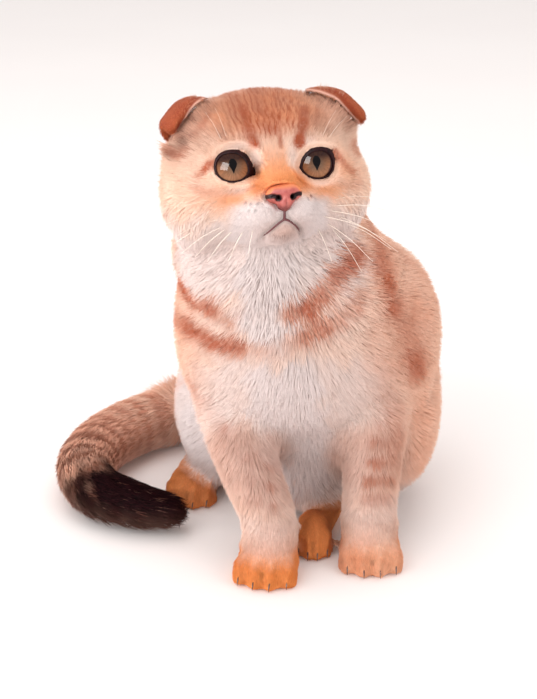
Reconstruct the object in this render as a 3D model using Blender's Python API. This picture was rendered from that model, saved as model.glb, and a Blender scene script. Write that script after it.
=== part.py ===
"""A young Scottish Fold cat, sitting, as a life-size still model.

The cat faces -Y. +X is its own left side, which is on the right for someone who faces it, and +Z is up.
Forms are written in millimetres in a pose frame, and the last step moves the whole cat so that the
middle of its footprint is the origin. The forms are fused into one body, which thin cuts then part
into named pieces. All surfaces are the outside of the coat.
"""

import math

import bmesh
import bpy
from mathutils import Euler, Matrix, Vector
from mathutils.bvhtree import BVHTree

MM = 0.001

# Driving dimensions, in millimetres.
HEAD_HALF_WIDTH = 41.8
HEAD_CENTRE = Vector((-2.3, -18, 171.5))
HEAD_PITCH, HEAD_YAW, HEAD_ROLL = -17.0, 9.0, -2.8
EYE_SPREAD = 16.3
EYE_RADIUS = 9.0
EYE_DEPTH = -22.9
LID = 1.3
FORELEG_RADIUS = 13.5
TAIL_RADIUS = 15.2
GAP = 0.3
JAW_TILT = 15.1
EAR_THICKNESS = 2.0
EAR_STEPS = 14

# How finely the masses and the whole are sampled, how often they are smoothed, and what is kept.
MASS_VOXEL, TORSO_SMOOTHING = 3.0, 60
SKULL_VOXEL, SKULL_SMOOTHING = 2.0, 9
WHOLE_VOXEL, FACE_SMOOTHING, BODY_SMOOTHING = 1.2, 7, 26
FINE_TRIANGLES, COARSE_TRIANGLES, FOOT_TRIANGLES = 6600, 3600, 300

COLOURS = {
    "coat_golden": ((0.78, 0.45, 0.30, 1), 0.85),
    "coat_paws": ((0.72, 0.33, 0.14, 1), 0.85),
    "coat_tail_tip": ((0.06, 0.02, 0.018, 1), 0.85),
    "ear_skin": ((0.50, 0.12, 0.05, 1), 0.8),
    "eye": ((0.35, 0.22, 0.10, 1), 0.08),
    "nose_leather": ((0.62, 0.22, 0.20, 1), 0.5),
}


def clear_scene():
    for old in list(bpy.data.objects):
        bpy.data.objects.remove(old, do_unlink=True)


def material(name):
    found = bpy.data.materials.get(name)
    if found:
        return found
    colour, roughness = COLOURS[name]
    made = bpy.data.materials.new(name)
    made.use_nodes = True
    made.diffuse_color = colour
    shader = made.node_tree.nodes["Principled BSDF"]
    shader.inputs["Base Color"].default_value = colour
    shader.inputs["Roughness"].default_value = roughness
    shader.inputs["Metallic"].default_value = 0.0
    return made


def add_object(name, mesh):
    made = bpy.data.objects.new(name, mesh)
    bpy.context.scene.collection.objects.link(made)
    return made


def mesh_from(shapes, name):
    """One mesh of all the closed shapes, which are (points, faces) in millimetres."""
    points, faces = [], []
    for shape_points, shape_faces in shapes:
        start = len(points)
        points += [Vector(p) * MM for p in shape_points]
        faces += [[start + i for i in face] for face in shape_faces]
    mesh = bpy.data.meshes.new(name)
    mesh.from_pydata(points, [], faces)
    outward = bmesh.new()
    outward.from_mesh(mesh)
    bmesh.ops.recalc_face_normals(outward, faces=outward.faces)
    outward.to_mesh(mesh)
    outward.free()
    return mesh


def applied(obj):
    """The object with its modifiers made part of its mesh."""
    graph = bpy.context.evaluated_depsgraph_get()
    mesh = bpy.data.meshes.new_from_object(obj.evaluated_get(graph))
    obj.modifiers.clear()
    obj.data = mesh
    return obj


def remove(*objects):
    for old in objects:
        bpy.data.objects.remove(old, do_unlink=True)


# Shapes, in millimetres.


def egg(centre, radii, turn=(0, 0, 0), frame=None, around=32, along=18):
    """An ellipsoid, turned by angles in degrees, in the pose frame or in another frame."""
    place = Matrix.Translation(Vector(centre)) @ turn_matrix(*turn)
    if frame:
        place = frame @ place
    points = [place @ Vector((0, 0, radii[2]))]
    for j in range(1, along):
        tilt = math.pi * j / along
        for i in range(around):
            spin = 2 * math.pi * i / around
            x = radii[0] * math.sin(tilt) * math.cos(spin)
            y = radii[1] * math.sin(tilt) * math.sin(spin)
            points.append(place @ Vector((x, y, radii[2] * math.cos(tilt))))
    points.append(place @ Vector((0, 0, -radii[2])))
    return points, capped_rings(along - 1, around)


def capped_rings(rings, around):
    """The faces of a stack of rings with a point before the first and one after the last."""
    faces = []
    last = rings * around + 1
    for i in range(around):
        k = (i + 1) % around
        faces.append([0, 1 + i, 1 + k])
        for j in range(rings - 1):
            a, b = 1 + j * around, 1 + (j + 1) * around
            faces.append([a + i, b + i, b + k, a + k])
        top = 1 + (rings - 1) * around
        faces.append([last, top + k, top + i])
    return faces


def smooth_path(stops, count):
    """Points along a smooth curve through the stops, each a tuple of numbers of any length."""
    stops = [Vector(s) for s in stops]
    ends = [2 * stops[0] - stops[1]] + stops + [2 * stops[-1] - stops[-2]]
    path = []
    for k in range(count):
        t = k / (count - 1) * (len(stops) - 1)
        i = min(int(t), len(stops) - 2)
        t -= i
        p0, p1, p2, p3 = ends[i : i + 4]
        bend = 2 * p0 - 5 * p1 + 4 * p2 - p3
        twist = 3 * p1 - p0 - 3 * p2 + p3
        path.append(0.5 * (2 * p1 + (p2 - p0) * t + bend * t * t + twist * t**3))
    return path


def limb(stops, frame=None, count=16, around=20, flat=1.0):
    """A tube with round ends through stops of (x, y, z, radius). flat widens it sideways."""
    path = smooth_path(stops, count)
    centres = [Vector(p[:3]) for p in path]
    widths = [p[3] for p in path]
    first = (centres[0] - centres[1]).normalized()
    last = (centres[-1] - centres[-2]).normalized()
    rings = []
    for k in range(3, 0, -1):
        lift = math.sin(math.pi / 2 * k / 4)
        rings.append((centres[0] + first * widths[0] * lift, -first, widths[0] * math.cos(math.pi / 2 * k / 4)))
    for k, (centre, width) in enumerate(zip(centres, widths)):
        ahead = centres[min(k + 1, count - 1)] - centres[max(k - 1, 0)]
        rings.append((centre, ahead.normalized(), width))
    for k in range(1, 4):
        lift = math.sin(math.pi / 2 * k / 4)
        rings.append((centres[-1] + last * widths[-1] * lift, last, widths[-1] * math.cos(math.pi / 2 * k / 4)))
    side = first.cross(Vector((0, 1, 0.2))).normalized()
    points = [centres[0] + first * widths[0]]
    for centre, ahead, width in rings:
        side = (side - ahead * side.dot(ahead)).normalized()
        up = ahead.cross(side)
        for i in range(around):
            spin = 2 * math.pi * i / around
            points.append(centre + width * (flat * side * math.cos(spin) + up * math.sin(spin)))
    points.append(centres[-1] + last * widths[-1])
    if frame:
        points = [frame @ p for p in points]
    return points, capped_rings(len(rings), around)


def turn_matrix(rx, ry, rz):
    return Euler([math.radians(a) for a in (rx, ry, rz)], "XYZ").to_matrix().to_4x4()


def head_frame():
    """Head coordinates to the pose frame. In the head, -Y is ahead to the nose and +Z is the crown."""
    yaw = Matrix.Rotation(math.radians(HEAD_YAW), 4, "Z")
    pitch = Matrix.Rotation(math.radians(HEAD_PITCH), 4, "X")
    roll = Matrix.Rotation(math.radians(HEAD_ROLL), 4, "Y")
    return Matrix.Translation(HEAD_CENTRE) @ yaw @ pitch @ roll


# Forms of the cat.


def torso_forms():
    return [
        egg((14, -8, 97), (47, 38, 49)),  # chest
        egg((-15, 7, 94), (29.5, 35, 49)),  # right shoulder
        egg((47, 15, 86), (33, 37, 47)),  # left shoulder
        egg((22, 42, 80), (58, 54, 52), (10, 0, 0)),  # ribs and back
        egg((17, 26, 58), (50, 48, 44)),  # belly
        egg((16, 10, 23), (24, 24, 24)),  # groin
        egg((16, 48, 110), (38, 34, 37)),  # withers
        egg((21, 60, 66), (56, 50, 58)),  # loins
        egg((20, 60, 45), (56, 52, 48)),  # rump
        egg((52, 35, 46), (30, 49, 48), (12, 0, 8)),  # left thigh
        egg((-16, 50, 40), (31, 46, 44), (12, 0, -6)),  # right thigh
        egg((2, 4, 130), (44, 42, 38)),  # neck
        egg((0, -16, 126), (35, 30, 34)),  # throat
        egg((7, 25, 132), (38, 40, 35), (0, 12, 0)),  # nape
    ]


def foreleg_forms(side):
    """side is 1 for the cat's left. The right leg stands a little ahead of the left one."""
    paw, turn, width = paw_stand("forepaw_left" if side > 0 else "forepaw_right")
    shoulder_x = 47 if side > 0 else -17
    r = FORELEG_RADIUS
    column = limb(
        [
            (shoulder_x, 4, 92, r * 1.6),
            (shoulder_x * 0.98, -8, 64, r * 1.3),
            ((shoulder_x + paw.x) / 2, paw.y + 18, 42, r * 1.1),
            (paw.x, paw.y + 8, 22, r),
            (paw.x, paw.y + 1, 8, r * 0.97),
        ]
    )
    return [column] + paw_forms(paw, turn, width)


def paw_forms(place, turn, width):
    """A paw: a low pad with four toes at its front edge. width is half of its breadth."""
    frame = Matrix.Translation(place) @ turn_matrix(0, 0, turn)
    forms = [egg((0, 0, 6), (width * 0.98, 14, 10), frame=frame)]
    for k in range(4):
        across = (k - 1.5) / 1.5
        x = across * width * 0.72
        y = -11.5 + 3.5 * across * across
        forms.append(egg((x, y, 4.8), (width * 0.29, 7.8, 7.4), frame=frame))
    return forms


def claws(place, turn, width):
    """The tips of four claws, one in front of each toe."""
    frame = Matrix.Translation(place) @ turn_matrix(0, 0, turn)
    shapes = []
    for k in range(4):
        across = (k - 1.5) / 1.5
        root = (across * width * 0.72, -18.4 + 3.5 * across * across, 4.6)
        shapes.append(egg(root, (0.8, 3.0, 1.0), (38, 0, 0), frame, around=6, along=4))
    return shapes


def paw_stand(name):
    """Where a paw stands on the floor, how far it is turned, and half of its breadth."""
    return {
        "forepaw_left": (Vector((44.3, -36, 0)), 0, 14.6),
        "forepaw_right": (Vector((0, -47, 0)), -10, 14.6),
        "hindpaw_left": (Vector((20.5, -21, 0)), -4, 8.8),
        "hindpaw_right": (Vector((-35, 27, 0)), -10, 12.5),
    }[name]


def hind_foot_forms(side):
    """side is 1 for the cat's left, whose foot is drawn forward between the forelegs."""
    toes, turn, width = paw_stand("hindpaw_left" if side > 0 else "hindpaw_right")
    hock = Vector((36, 28, 9)) if side > 0 else Vector((-22, 74, 9))
    instep = hock.lerp(toes, 0.5) + Vector((0, 0, 4))
    ball = toes + Vector((0, 0, 6))
    foot = limb([(*hock, 12.5), (*instep, width * 0.95), (*ball, width * 0.85)])
    return [foot] + paw_forms(toes, turn, width)


def tail_path():
    """Stops of (x, y, z, radius) from the rump, round the cat's right side, to the tip."""
    r = TAIL_RADIUS
    return [
        (4, 88, 24, r * 1.25),
        (-30, 93, 17, r * 1.18),
        (-57, 80, 14.5, r * 1.1),
        (-78, 57, 13.5, r * 1.06),
        (-86, 31, 13, r * 1.03),
        (-80, 8, 12, r * 0.95),
        (-64, -5, 11, r * 0.87),
        (-49, -10, 10, r * 0.74),
    ]


def skull_forms():
    """The rounded head with the root of its muzzle."""
    frame = head_frame()
    w = HEAD_HALF_WIDTH
    forms = [
        egg((0, 7, 4), (w * 0.97, 38, 30.5), frame=frame),  # braincase
        egg((0, -4, -1), (w * 0.92, 31.5, 28.5), frame=frame),  # face
        egg((0, -14, -15), (27, 20, 15), frame=frame),  # upper jaw
        egg((0, -9, -20), (24, 21, 13), frame=frame),  # lower jaw
        egg((0, -22, -14), (17, 16.5, 13), frame=frame),  # root of the muzzle
        egg((0, -20, -21), (13, 14, 10.5), frame=frame),  # root of the chin
    ]
    for side in (-1, 1):
        forms += [
            egg((side * w * 0.55, -1, -8), (w * 0.5, 27, 22), frame=frame),  # cheek
            egg((side * 14, -10, 9), (21, 21, 17), frame=frame),  # brow
            egg((side * 17, -14, -6), (15, 18.5, 13), frame=frame),  # under the eye
            egg((side * 28.5, -4, 13), (12.5, 15, 11), frame=frame),  # temple
        ]
    return forms


def muzzle_forms():
    frame = head_frame()
    forms = [
        limb([(0, -17, 8, 13), (0, -26, 1, 9), (0, -33.2, -8, 7.2)], frame),  # bridge of the nose
        egg((0, -25, -14), (13, 13, 10.5), frame=frame),
        egg((0, -25, -24.3), (9, 8.5, 7), frame=frame),  # chin
    ]
    for side in (-1, 1):
        forms.append(egg((side * 6.6, -29, -16.4), (9.4, 9, 7.6), (0, 0, side * 12), frame))
    return forms


def fuse(name, shapes, voxel):
    fused = add_object(name, mesh_from(shapes, name))
    remesh = fused.modifiers.new("fuse", "REMESH")
    remesh.mode = "VOXEL"
    remesh.voxel_size = voxel * MM
    return applied(fused)


def soften(obj, iterations, group=""):
    smooth = obj.modifiers.new("soften", "SMOOTH")
    smooth.vertex_group = group
    smooth.factor = 0.5
    smooth.iterations = iterations


def shape_of(obj):
    points = [v.co / MM for v in obj.data.vertices]
    return points, [list(p.vertices) for p in obj.data.polygons]


def smooth_mass(name, forms, voxel, iterations):
    """A rounded mass of several forms, without the creases between them."""
    mass = fuse(name, forms, voxel)
    soften(mass, iterations)
    shape = shape_of(applied(mass))
    remove(mass)
    return shape


def fused_body():
    """All the flesh as one smooth closed body."""
    forms = [
        smooth_mass("torso mass", torso_forms(), MASS_VOXEL, TORSO_SMOOTHING),
        smooth_mass("skull mass", skull_forms(), SKULL_VOXEL, SKULL_SMOOTHING),
        limb(tail_path(), count=40),
    ]
    forms += muzzle_forms()
    forms += foreleg_forms(-1) + foreleg_forms(1)
    body = fuse("body", forms, WHOLE_VOXEL)
    mark_broad_parts(body)
    soften(body, FACE_SMOOTHING)
    soften(body, BODY_SMOOTHING, "broad")
    return applied(body)


def hind_foot(side, name):
    """A hind foot by itself, which then presses its own shape out of the flesh beside it."""
    foot = fuse(name, hind_foot_forms(side), WHOLE_VOXEL)
    soften(foot, FACE_SMOOTHING)
    return thinned(applied(foot), FOOT_TRIANGLES)


def mark_broad_parts(body):
    """A vertex group of what is broad and soft, away from the face and paws."""
    broad = body.vertex_groups.new(name="broad")
    to_head = head_frame().inverted()
    for vertex in body.data.vertices:
        place = vertex.co / MM
        in_head = to_head @ place
        face = in_head.z > -38 and in_head.y < 4
        weight = 0.0 if face else 0.2 if place.z < 20 else 1.0
        broad.add([vertex.index], weight, "REPLACE")


# Booleans and cuts.


def combine(target, other, operation, solver="EXACT"):
    """The target joined with, cut by or limited to another closed object, which is then removed."""
    join = target.modifiers.new(operation, "BOOLEAN")
    join.operation = operation
    join.solver = solver
    join.object = other
    applied(target)
    remove(other)
    return target


def copy_of(obj, name, grow=0.0):
    """A copy of an object, swollen along its normals by so many millimetres."""
    made = add_object(name, obj.data.copy())
    if grow:
        swell = made.modifiers.new("grow", "DISPLACE")
        swell.strength = grow * MM
        swell.mid_level = 0.0
        applied(made)
    return made


def loose_parts(obj):
    """The separate closed surfaces of an object as (middle in millimetres, size, mesh)."""
    mesh = bmesh.new()
    mesh.from_mesh(obj.data)
    mesh.faces.ensure_lookup_table()
    unseen = set(mesh.verts)
    parts = []
    while unseen:
        front = [unseen.pop()]
        island = set(front)
        while front:
            for edge in front.pop().link_edges:
                for vertex in edge.verts:
                    if vertex in unseen:
                        unseen.discard(vertex)
                        island.add(vertex)
                        front.append(vertex)
        parts.append(island)
    found = []
    for island in parts:
        index = {v: i for i, v in enumerate(island)}
        faces = [[index[v] for v in f.verts] for f in mesh.faces if f.verts[0] in island]
        points = [v.co.copy() for v in index]
        part = bpy.data.meshes.new("piece")
        part.from_pydata(points, [], faces)
        part.update()
        middle = sum(points, Vector()) / len(points) / MM
        found.append((middle, len(points), part))
    mesh.free()
    return found


def keep_largest(obj):
    parts = loose_parts(obj)
    obj.data = max(parts, key=lambda part: part[1])[2]
    return obj


def disc(centre, normal, radius, thickness=GAP, around=40):
    """A thin round cutter across a limb."""
    turn = Vector(normal).normalized().to_track_quat("Z", "Y").to_matrix().to_4x4()
    place = Matrix.Translation(Vector(centre)) @ turn
    points = []
    for height in (-thickness / 2, thickness / 2):
        for i in range(around):
            spin = 2 * math.pi * i / around
            points.append(place @ Vector((radius * math.cos(spin), radius * math.sin(spin), height)))
    faces = [list(range(around))[::-1], list(range(around, 2 * around))]
    for i in range(around):
        k = (i + 1) % around
        faces.append([i, k, around + k, around + i])
    return points, faces


def box(low, high):
    points = [Vector((x, y, z)) for z in (low[2], high[2]) for y in (low[1], high[1]) for x in (low[0], high[0])]
    faces = [[0, 2, 3, 1], [4, 5, 7, 6], [0, 1, 5, 4], [2, 6, 7, 3], [0, 4, 6, 2], [1, 3, 7, 5]]
    return points, faces


def leg_cut(side, height, radius):
    """A cut across a foreleg at a height, square to the leg's own line."""
    top, foot = Vector((47, -8, 64)), Vector((43.5, -29, 20))
    if side < 0:
        top, foot = Vector((-17, -8, 64)), Vector((0.5, -40, 20))
    share = (height - foot.z) / (top.z - foot.z)
    return disc(foot.lerp(top, share), top - foot, radius)


def tail_cut(place):
    """A cut across the tail at a share of its stops, square to its line."""
    path = smooth_path(tail_path(), 71)
    k = round(place * 70)
    ahead = Vector(path[k + 1][:3]) - Vector(path[k - 1][:3])
    return disc(path[k][:3], (ahead.x, ahead.y, 0), path[k][3] * 1.28)


# Where each piece lies, to name what the cuts leave.
ANCHORS = {
    "neck": (3, 4, 140),
    "torso": (20, 30, 75),
    "forepaw_left": (44, -38, 8),
    "forepaw_right": (0, -48, 8),
    "tail_base": (-62, 74, 14),
    "tail_middle": (-84, 35, 13),
    "tail_tip": (-62, -4, 11),
}


def cut_apart(body):
    """Parts the body with thin cuts and returns its pieces by name."""
    cuts = [disc((10, 10, 130), (0, -0.33, 1), 110), tail_cut(0.26), tail_cut(0.5), tail_cut(0.76)]
    cuts += [leg_cut(side, 19, 17) for side in (-1, 1)]
    for cut in cuts:
        combine(body, add_object("cut", mesh_from([cut], "cut")), "DIFFERENCE")
    pieces = {}
    for middle, size, mesh in loose_parts(body):
        name = min(ANCHORS, key=lambda key: (Vector(ANCHORS[key]) - middle).length)
        if name not in pieces or size > len(pieces[name].data.vertices):
            if name in pieces:
                remove(pieces[name])
            pieces[name] = add_object(name, mesh)
    remove(body)
    return pieces


# Egg-shaped regions of (centre, radii, turn) that come out of the torso, in this order.
SCOOPS = {
    "foreleg_left": ((45.5, -19, 40), (21, 20, 31), (-25, 0, 0)),
    "foreleg_right": ((-8, -29, 40), (21, 21, 31), (-35, -22, 0)),
    "thigh_left": ((62, 38, 34), (34, 50, 50), (12, 0, 8)),
    "thigh_right": ((-30, 46, 30), (34, 46, 46), (12, 0, -6)),
}


def scoop(torso, name, centre, radii, turn=(0, 0, 0)):
    """Takes an egg-shaped region out of the torso as a piece of its own."""
    piece = copy_of(torso, name)
    inner = add_object("region", mesh_from([egg(centre, radii, turn, along=10, around=18)], "region"))
    combine(piece, inner, "INTERSECT")
    wide = [r + GAP for r in radii]
    outer = add_object("region", mesh_from([egg(centre, wide, turn, along=10, around=18)], "region"))
    combine(torso, outer, "DIFFERENCE")
    return keep_largest(piece)


def region(name, shape):
    return add_object(name, mesh_from([shape], name))


def thinned(obj, triangles):
    """The object reduced to about so many triangles."""
    count = sum(len(p.vertices) - 2 for p in obj.data.polygons)
    thin = obj.modifiers.new("thin out", "DECIMATE")
    thin.ratio = min(1.0, triangles / count)
    thin.use_collapse_triangulate = True
    return applied(obj)


def floored(obj):
    """The object with what is below the floor cut away flat."""
    return combine(obj, region("floor", box((-150, -150, -40), (150, 150, 0))), "DIFFERENCE")


def above_jaw(drop=0.0):
    """A block whose underside passes under the jaw and behind the skull."""
    points, faces = box((-90, -90, -drop), (90, 110, 90))
    place = Matrix.Translation((0, -5, 154)) @ turn_matrix(JAW_TILT, 0, 0)
    return [place @ p for p in points], faces


# The head.


def in_head(point):
    return head_frame() @ Vector(point)


def eye_centre(side):
    return Vector((side * EYE_SPREAD, EYE_DEPTH, 0.3))


def lid_point(side, angle, reach):
    """A point of the lid margin, on a ball of the given radius about the eye."""
    outward, height = math.cos(angle), math.sin(angle)
    corner = max(0.0, -outward) ** 6
    x = side * (7.0 * outward - 0.9 * corner)
    z = (5.7 if height > 0 else 5.3) * height + 0.5 * outward - 0.8 * corner
    depth = math.sqrt(max(reach * reach - x * x - z * z, 1.0))
    return eye_centre(side) + Vector((x, -depth, z))


def lid_ring(side):
    """The raised margin round one eye."""
    count, around, radius = 26, 7, LID
    points = []
    for k in range(count):
        angle = 2 * math.pi * k / count
        here = lid_point(side, angle, EYE_RADIUS + 0.9)
        ahead = (lid_point(side, angle + 0.05, EYE_RADIUS + 0.9) - here).normalized()
        out = (here - eye_centre(side)).normalized()
        out = (out - ahead * out.dot(ahead)).normalized()
        across = ahead.cross(out)
        for i in range(around):
            spin = 2 * math.pi * i / around
            points.append(in_head(here + radius * (out * math.cos(spin) + 1.2 * across * math.sin(spin))))
    faces = []
    for k in range(count):
        n = (k + 1) % count
        for i in range(around):
            j = (i + 1) % around
            faces.append([k * around + i, n * around + i, n * around + j, k * around + j])
    return points, faces


def lid_opening(side):
    """The space between the lids, widening outwards."""
    count = 26
    points, faces = [], []
    for depth, spread in ((-2.5, 0.55), (-7.0, 1.0), (-22.0, 1.3)):
        for k in range(count):
            rim = lid_point(side, 2 * math.pi * k / count, EYE_RADIUS) - eye_centre(side)
            points.append(in_head(eye_centre(side) + Vector((rim.x * spread, depth, rim.z * spread))))
    for ring in range(2):
        for k in range(count):
            n = (k + 1) % count
            a, b = ring * count, (ring + 1) * count
            faces.append([a + k, a + n, b + n, b + k])
    faces += [list(range(count))[::-1], list(range(2 * count, 3 * count))]
    return points, faces


def nose_leather():
    """The bare nose before its nostrils are cut."""
    frame = head_frame()
    forms = [
        egg((0, -37.2, -9.8), (6.2, 4.6, 2.9), frame=frame),
        egg((0, -37.3, -13.2), (3.2, 4.0, 4.6), frame=frame),
    ]
    for side in (-1, 1):
        forms.append(egg((side * 4.1, -36.4, -11.3), (3.0, 3.9, 2.7), frame=frame))
    nose = fuse("nose", forms, 0.5)
    soften(nose, 4)
    thinned(applied(nose), 460)
    return nose


def nostrils():
    """A comma on each side: a round hole with a tail that curls outwards."""
    shapes = []
    for side in (-1, 1):
        path = [(2.2, -41.5, -12.2, 1.2), (3.6, -40.4, -11.5, 0.9), (6.4, -39.6, -12.0, 0.6)]
        shapes.append(limb([(side * x, y, z, r) for x, y, z, r in path], head_frame(), count=8, around=10))
        shapes.append(egg((side * 2.4, -39.6, -12.1), (1.2, 2.6, 1.2), frame=head_frame(), around=12, along=8))
    return thinned(fuse("nostrils", shapes, 0.3), 200)


def on_surface(tree, x, z):
    """Where a line from straight ahead of the face meets it, in head coordinates."""
    start = in_head((x, -70, z)) * MM
    ahead = (in_head((x, 0, z)) - in_head((x, -70, z))).normalized()
    place = tree.ray_cast(start, ahead)[0]
    return head_frame().inverted() @ (place / MM)


def mouth_groove(head):
    """The cleft under the nose and the line of the closed lips, as one set of thin tubes."""
    graph = bpy.context.evaluated_depsgraph_get()
    tree = BVHTree.FromObject(head, graph)
    shapes = []
    middle = (0, -21.2)
    lines = [[(0, -16.0), (0, -18.6), middle]]
    for side in (-1, 1):
        lines.append([middle, (side * 2.6, -22.7), (side * 5.2, -25.0), (side * 7.4, -27.0), (side * 9.2, -27.7)])
    for line in lines:
        stops = []
        for k, (x, z) in enumerate(line):
            place = on_surface(tree, x, z)
            stops.append((*place, 0.75 - 0.1 * k))
        shapes.append(limb(stops, head_frame(), count=10, around=8))
    groove = fuse("groove", shapes, 0.35)
    return thinned(groove, 420)


def ear(side):
    """A small ear folded down over the side of the head: a thin curved sheet, its base in the skull."""
    base = smooth_path([(17, 4, 27), (25, 11, 25), (34, 12, 17), (38, 7, 9)], EAR_STEPS)
    ridge = smooth_path([(18, -2, 29.5), (26, 2, 30.2), (34.5, 3, 27.4), (41.5, 0, 21.2)], EAR_STEPS)
    edge = smooth_path([(18, -8, 28.8), (27, -12, 25.8), (34.5, -15, 21), (40, -13, 15.5)], EAR_STEPS)
    rows = []
    for low, top, tip in zip(base, ridge, edge):
        rise = (top - low) * 0.6 + Vector((1.2, 3.0, 0.6))
        fall = (top + tip) * 0.5 + Vector((1.4, -1.6, 1.4))
        crest = top + Vector((0.3, -2.6, 0.6))
        rows.append(smooth_path([low, low + rise, top, crest, fall, tip], EAR_STEPS))
    outer, inner = [], []
    last = EAR_STEPS - 1
    for i in range(EAR_STEPS):
        for j in range(EAR_STEPS):
            along = rows[min(i + 1, last)][j] - rows[max(i - 1, 0)][j]
            down = rows[i][min(j + 1, last)] - rows[i][max(j - 1, 0)]
            normal = along.cross(down).normalized()
            outer.append(rows[i][j])
            inner.append(rows[i][j] + normal * EAR_THICKNESS)
    points = [in_head((side * p.x, p.y, p.z)) for p in outer + inner]
    shell = fuse("ear", [(points, sheet_faces(EAR_STEPS, EAR_STEPS))], 0.6)
    soften(shell, 8)
    return thinned(applied(shell), 460)


def sheet_faces(rows, columns):
    """The faces of a closed sheet: an outer grid of points, then an inner one, joined at the rim."""
    size = rows * columns
    faces = []
    for i in range(rows - 1):
        for j in range(columns - 1):
            a = i * columns + j
            faces.append([a, a + 1, a + columns + 1, a + columns])
            faces.append([size + a, size + a + columns, size + a + columns + 1, size + a + 1])
    rim = [j for j in range(columns - 1)]
    rim += [i * columns + columns - 1 for i in range(rows - 1)]
    rim += [(rows - 1) * columns + j for j in range(columns - 1, 0, -1)]
    rim += [i * columns for i in range(rows - 1, 0, -1)]
    for k, a in enumerate(rim):
        b = rim[(k + 1) % len(rim)]
        faces.append([a, size + a, size + b, b])
    return faces


def finish_head(head):
    """Adds the lids, sockets, nose, mouth and ears to the head and returns the new pieces."""
    pieces = {}
    for side, word in ((-1, "right"), (1, "left")):
        combine(head, region("lids", lid_ring(side)), "UNION")
    clean = copy_of(head, "clean", GAP)
    combine(head, mouth_groove(head), "DIFFERENCE")
    for side, word in ((-1, "right"), (1, "left")):
        centre = eye_centre(side)
        socket = egg(centre, [EYE_RADIUS + GAP] * 3, frame=head_frame(), around=24, along=14)
        combine(head, region("socket", socket), "DIFFERENCE")
        combine(head, region("opening", lid_opening(side)), "DIFFERENCE")
        ball = egg(centre, [EYE_RADIUS] * 3, frame=head_frame(), around=20, along=12)
        pieces[f"eye_{word}"] = region(f"eye_{word}", ball)
        flap = combine(ear(side), copy_of(clean, "skull"), "DIFFERENCE")
        pieces[f"ear_{word}"] = keep_largest(flap)
        flap.name = f"ear_{word}"
        cup = egg((side * 38.5, 1, 17.5), (4, 5, 4.5), frame=head_frame(), around=16, along=8)
        combine(head, region("cup", cup), "DIFFERENCE")
    nose = nose_leather()
    combine(head, copy_of(nose, "pocket", GAP), "DIFFERENCE")
    combine(nose, nostrils(), "DIFFERENCE")
    pieces["nose"] = keep_largest(nose)
    pieces["head"] = keep_largest(head)
    remove(clean)
    return pieces


# The whole cat.


def flesh_pieces():
    """Head, neck, torso, legs and tail, parted from each other, by name."""
    body = fused_body()
    head = thinned(copy_of(body, "head"), FINE_TRIANGLES)
    combine(head, region("block", above_jaw()), "INTERSECT")
    thinned(body, COARSE_TRIANGLES)
    combine(body, region("block", above_jaw(GAP)), "DIFFERENCE")
    pieces = cut_apart(floored(body))
    torso = pieces["torso"]
    for side, word in ((1, "left"), (-1, "right")):
        foot = floored(hind_foot(side, f"hindpaw_{word}"))
        for beside in (torso, pieces["forepaw_left"], pieces["forepaw_right"]):
            combine(beside, copy_of(foot, "print", GAP), "DIFFERENCE")
        pieces[f"hindpaw_{word}"] = foot
    for name, (centre, radii, turn) in SCOOPS.items():
        pieces[name] = scoop(torso, name, centre, radii, turn)
    keep_largest(torso)
    pieces["head"] = head
    return pieces


def add_claws(pieces):
    for name in ("forepaw_left", "forepaw_right", "hindpaw_left", "hindpaw_right"):
        tips = add_object("claws", mesh_from(claws(*paw_stand(name)), "claws"))
        keep_largest(combine(pieces[name], tips, "UNION"))


def stand_at_origin(pieces):
    """Moves all pieces so that the middle of their shared footprint is the origin."""
    places = [v.co for piece in pieces.values() for v in piece.data.vertices]
    middle_x = (min(p.x for p in places) + max(p.x for p in places)) / 2
    middle_y = (min(p.y for p in places) + max(p.y for p in places)) / 2
    low = min(p.z for p in places)
    for piece in pieces.values():
        piece.data.transform(Matrix.Translation((-middle_x, -middle_y, -low)))


def finish(name, piece):
    """Gives a piece its name and material, with its origin at its own middle."""
    piece.name = piece.data.name = name
    slot = "coat_golden"
    for part, special in (("ear", "ear_skin"), ("eye", "eye"), ("nose", "nose_leather"), ("tail_tip", "coat_tail_tip")):
        if name.startswith(part):
            slot = special
    if "paw" in name:
        slot = "coat_paws"
    piece.data.materials.clear()
    piece.data.materials.append(material(slot))
    middle = sum((v.co for v in piece.data.vertices), Vector()) / len(piece.data.vertices)
    piece.data.transform(Matrix.Translation(-middle))
    piece.location = middle


def main():
    clear_scene()
    pieces = flesh_pieces()
    add_claws(pieces)
    pieces.update(finish_head(pieces["head"]))
    stand_at_origin(pieces)
    for name, piece in pieces.items():
        finish(name, piece)


main()
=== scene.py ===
"""How a young Scottish Fold cat looks, sitting, as a life-size still model.

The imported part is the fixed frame. One skin replaces its nodes of flesh and lies inside them by the
depth of the coat, which is solid tufts. Lengths are millimetres in the pose frame of the part, where
the cat faces -Y and +X is its left. They become metres of the model frame when a mesh is made.
"""

import math

import bmesh
import bpy
import numpy as np
from mathutils import Matrix, Vector
from mathutils.bvhtree import BVHTree
from mathutils.kdtree import KDTree


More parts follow.
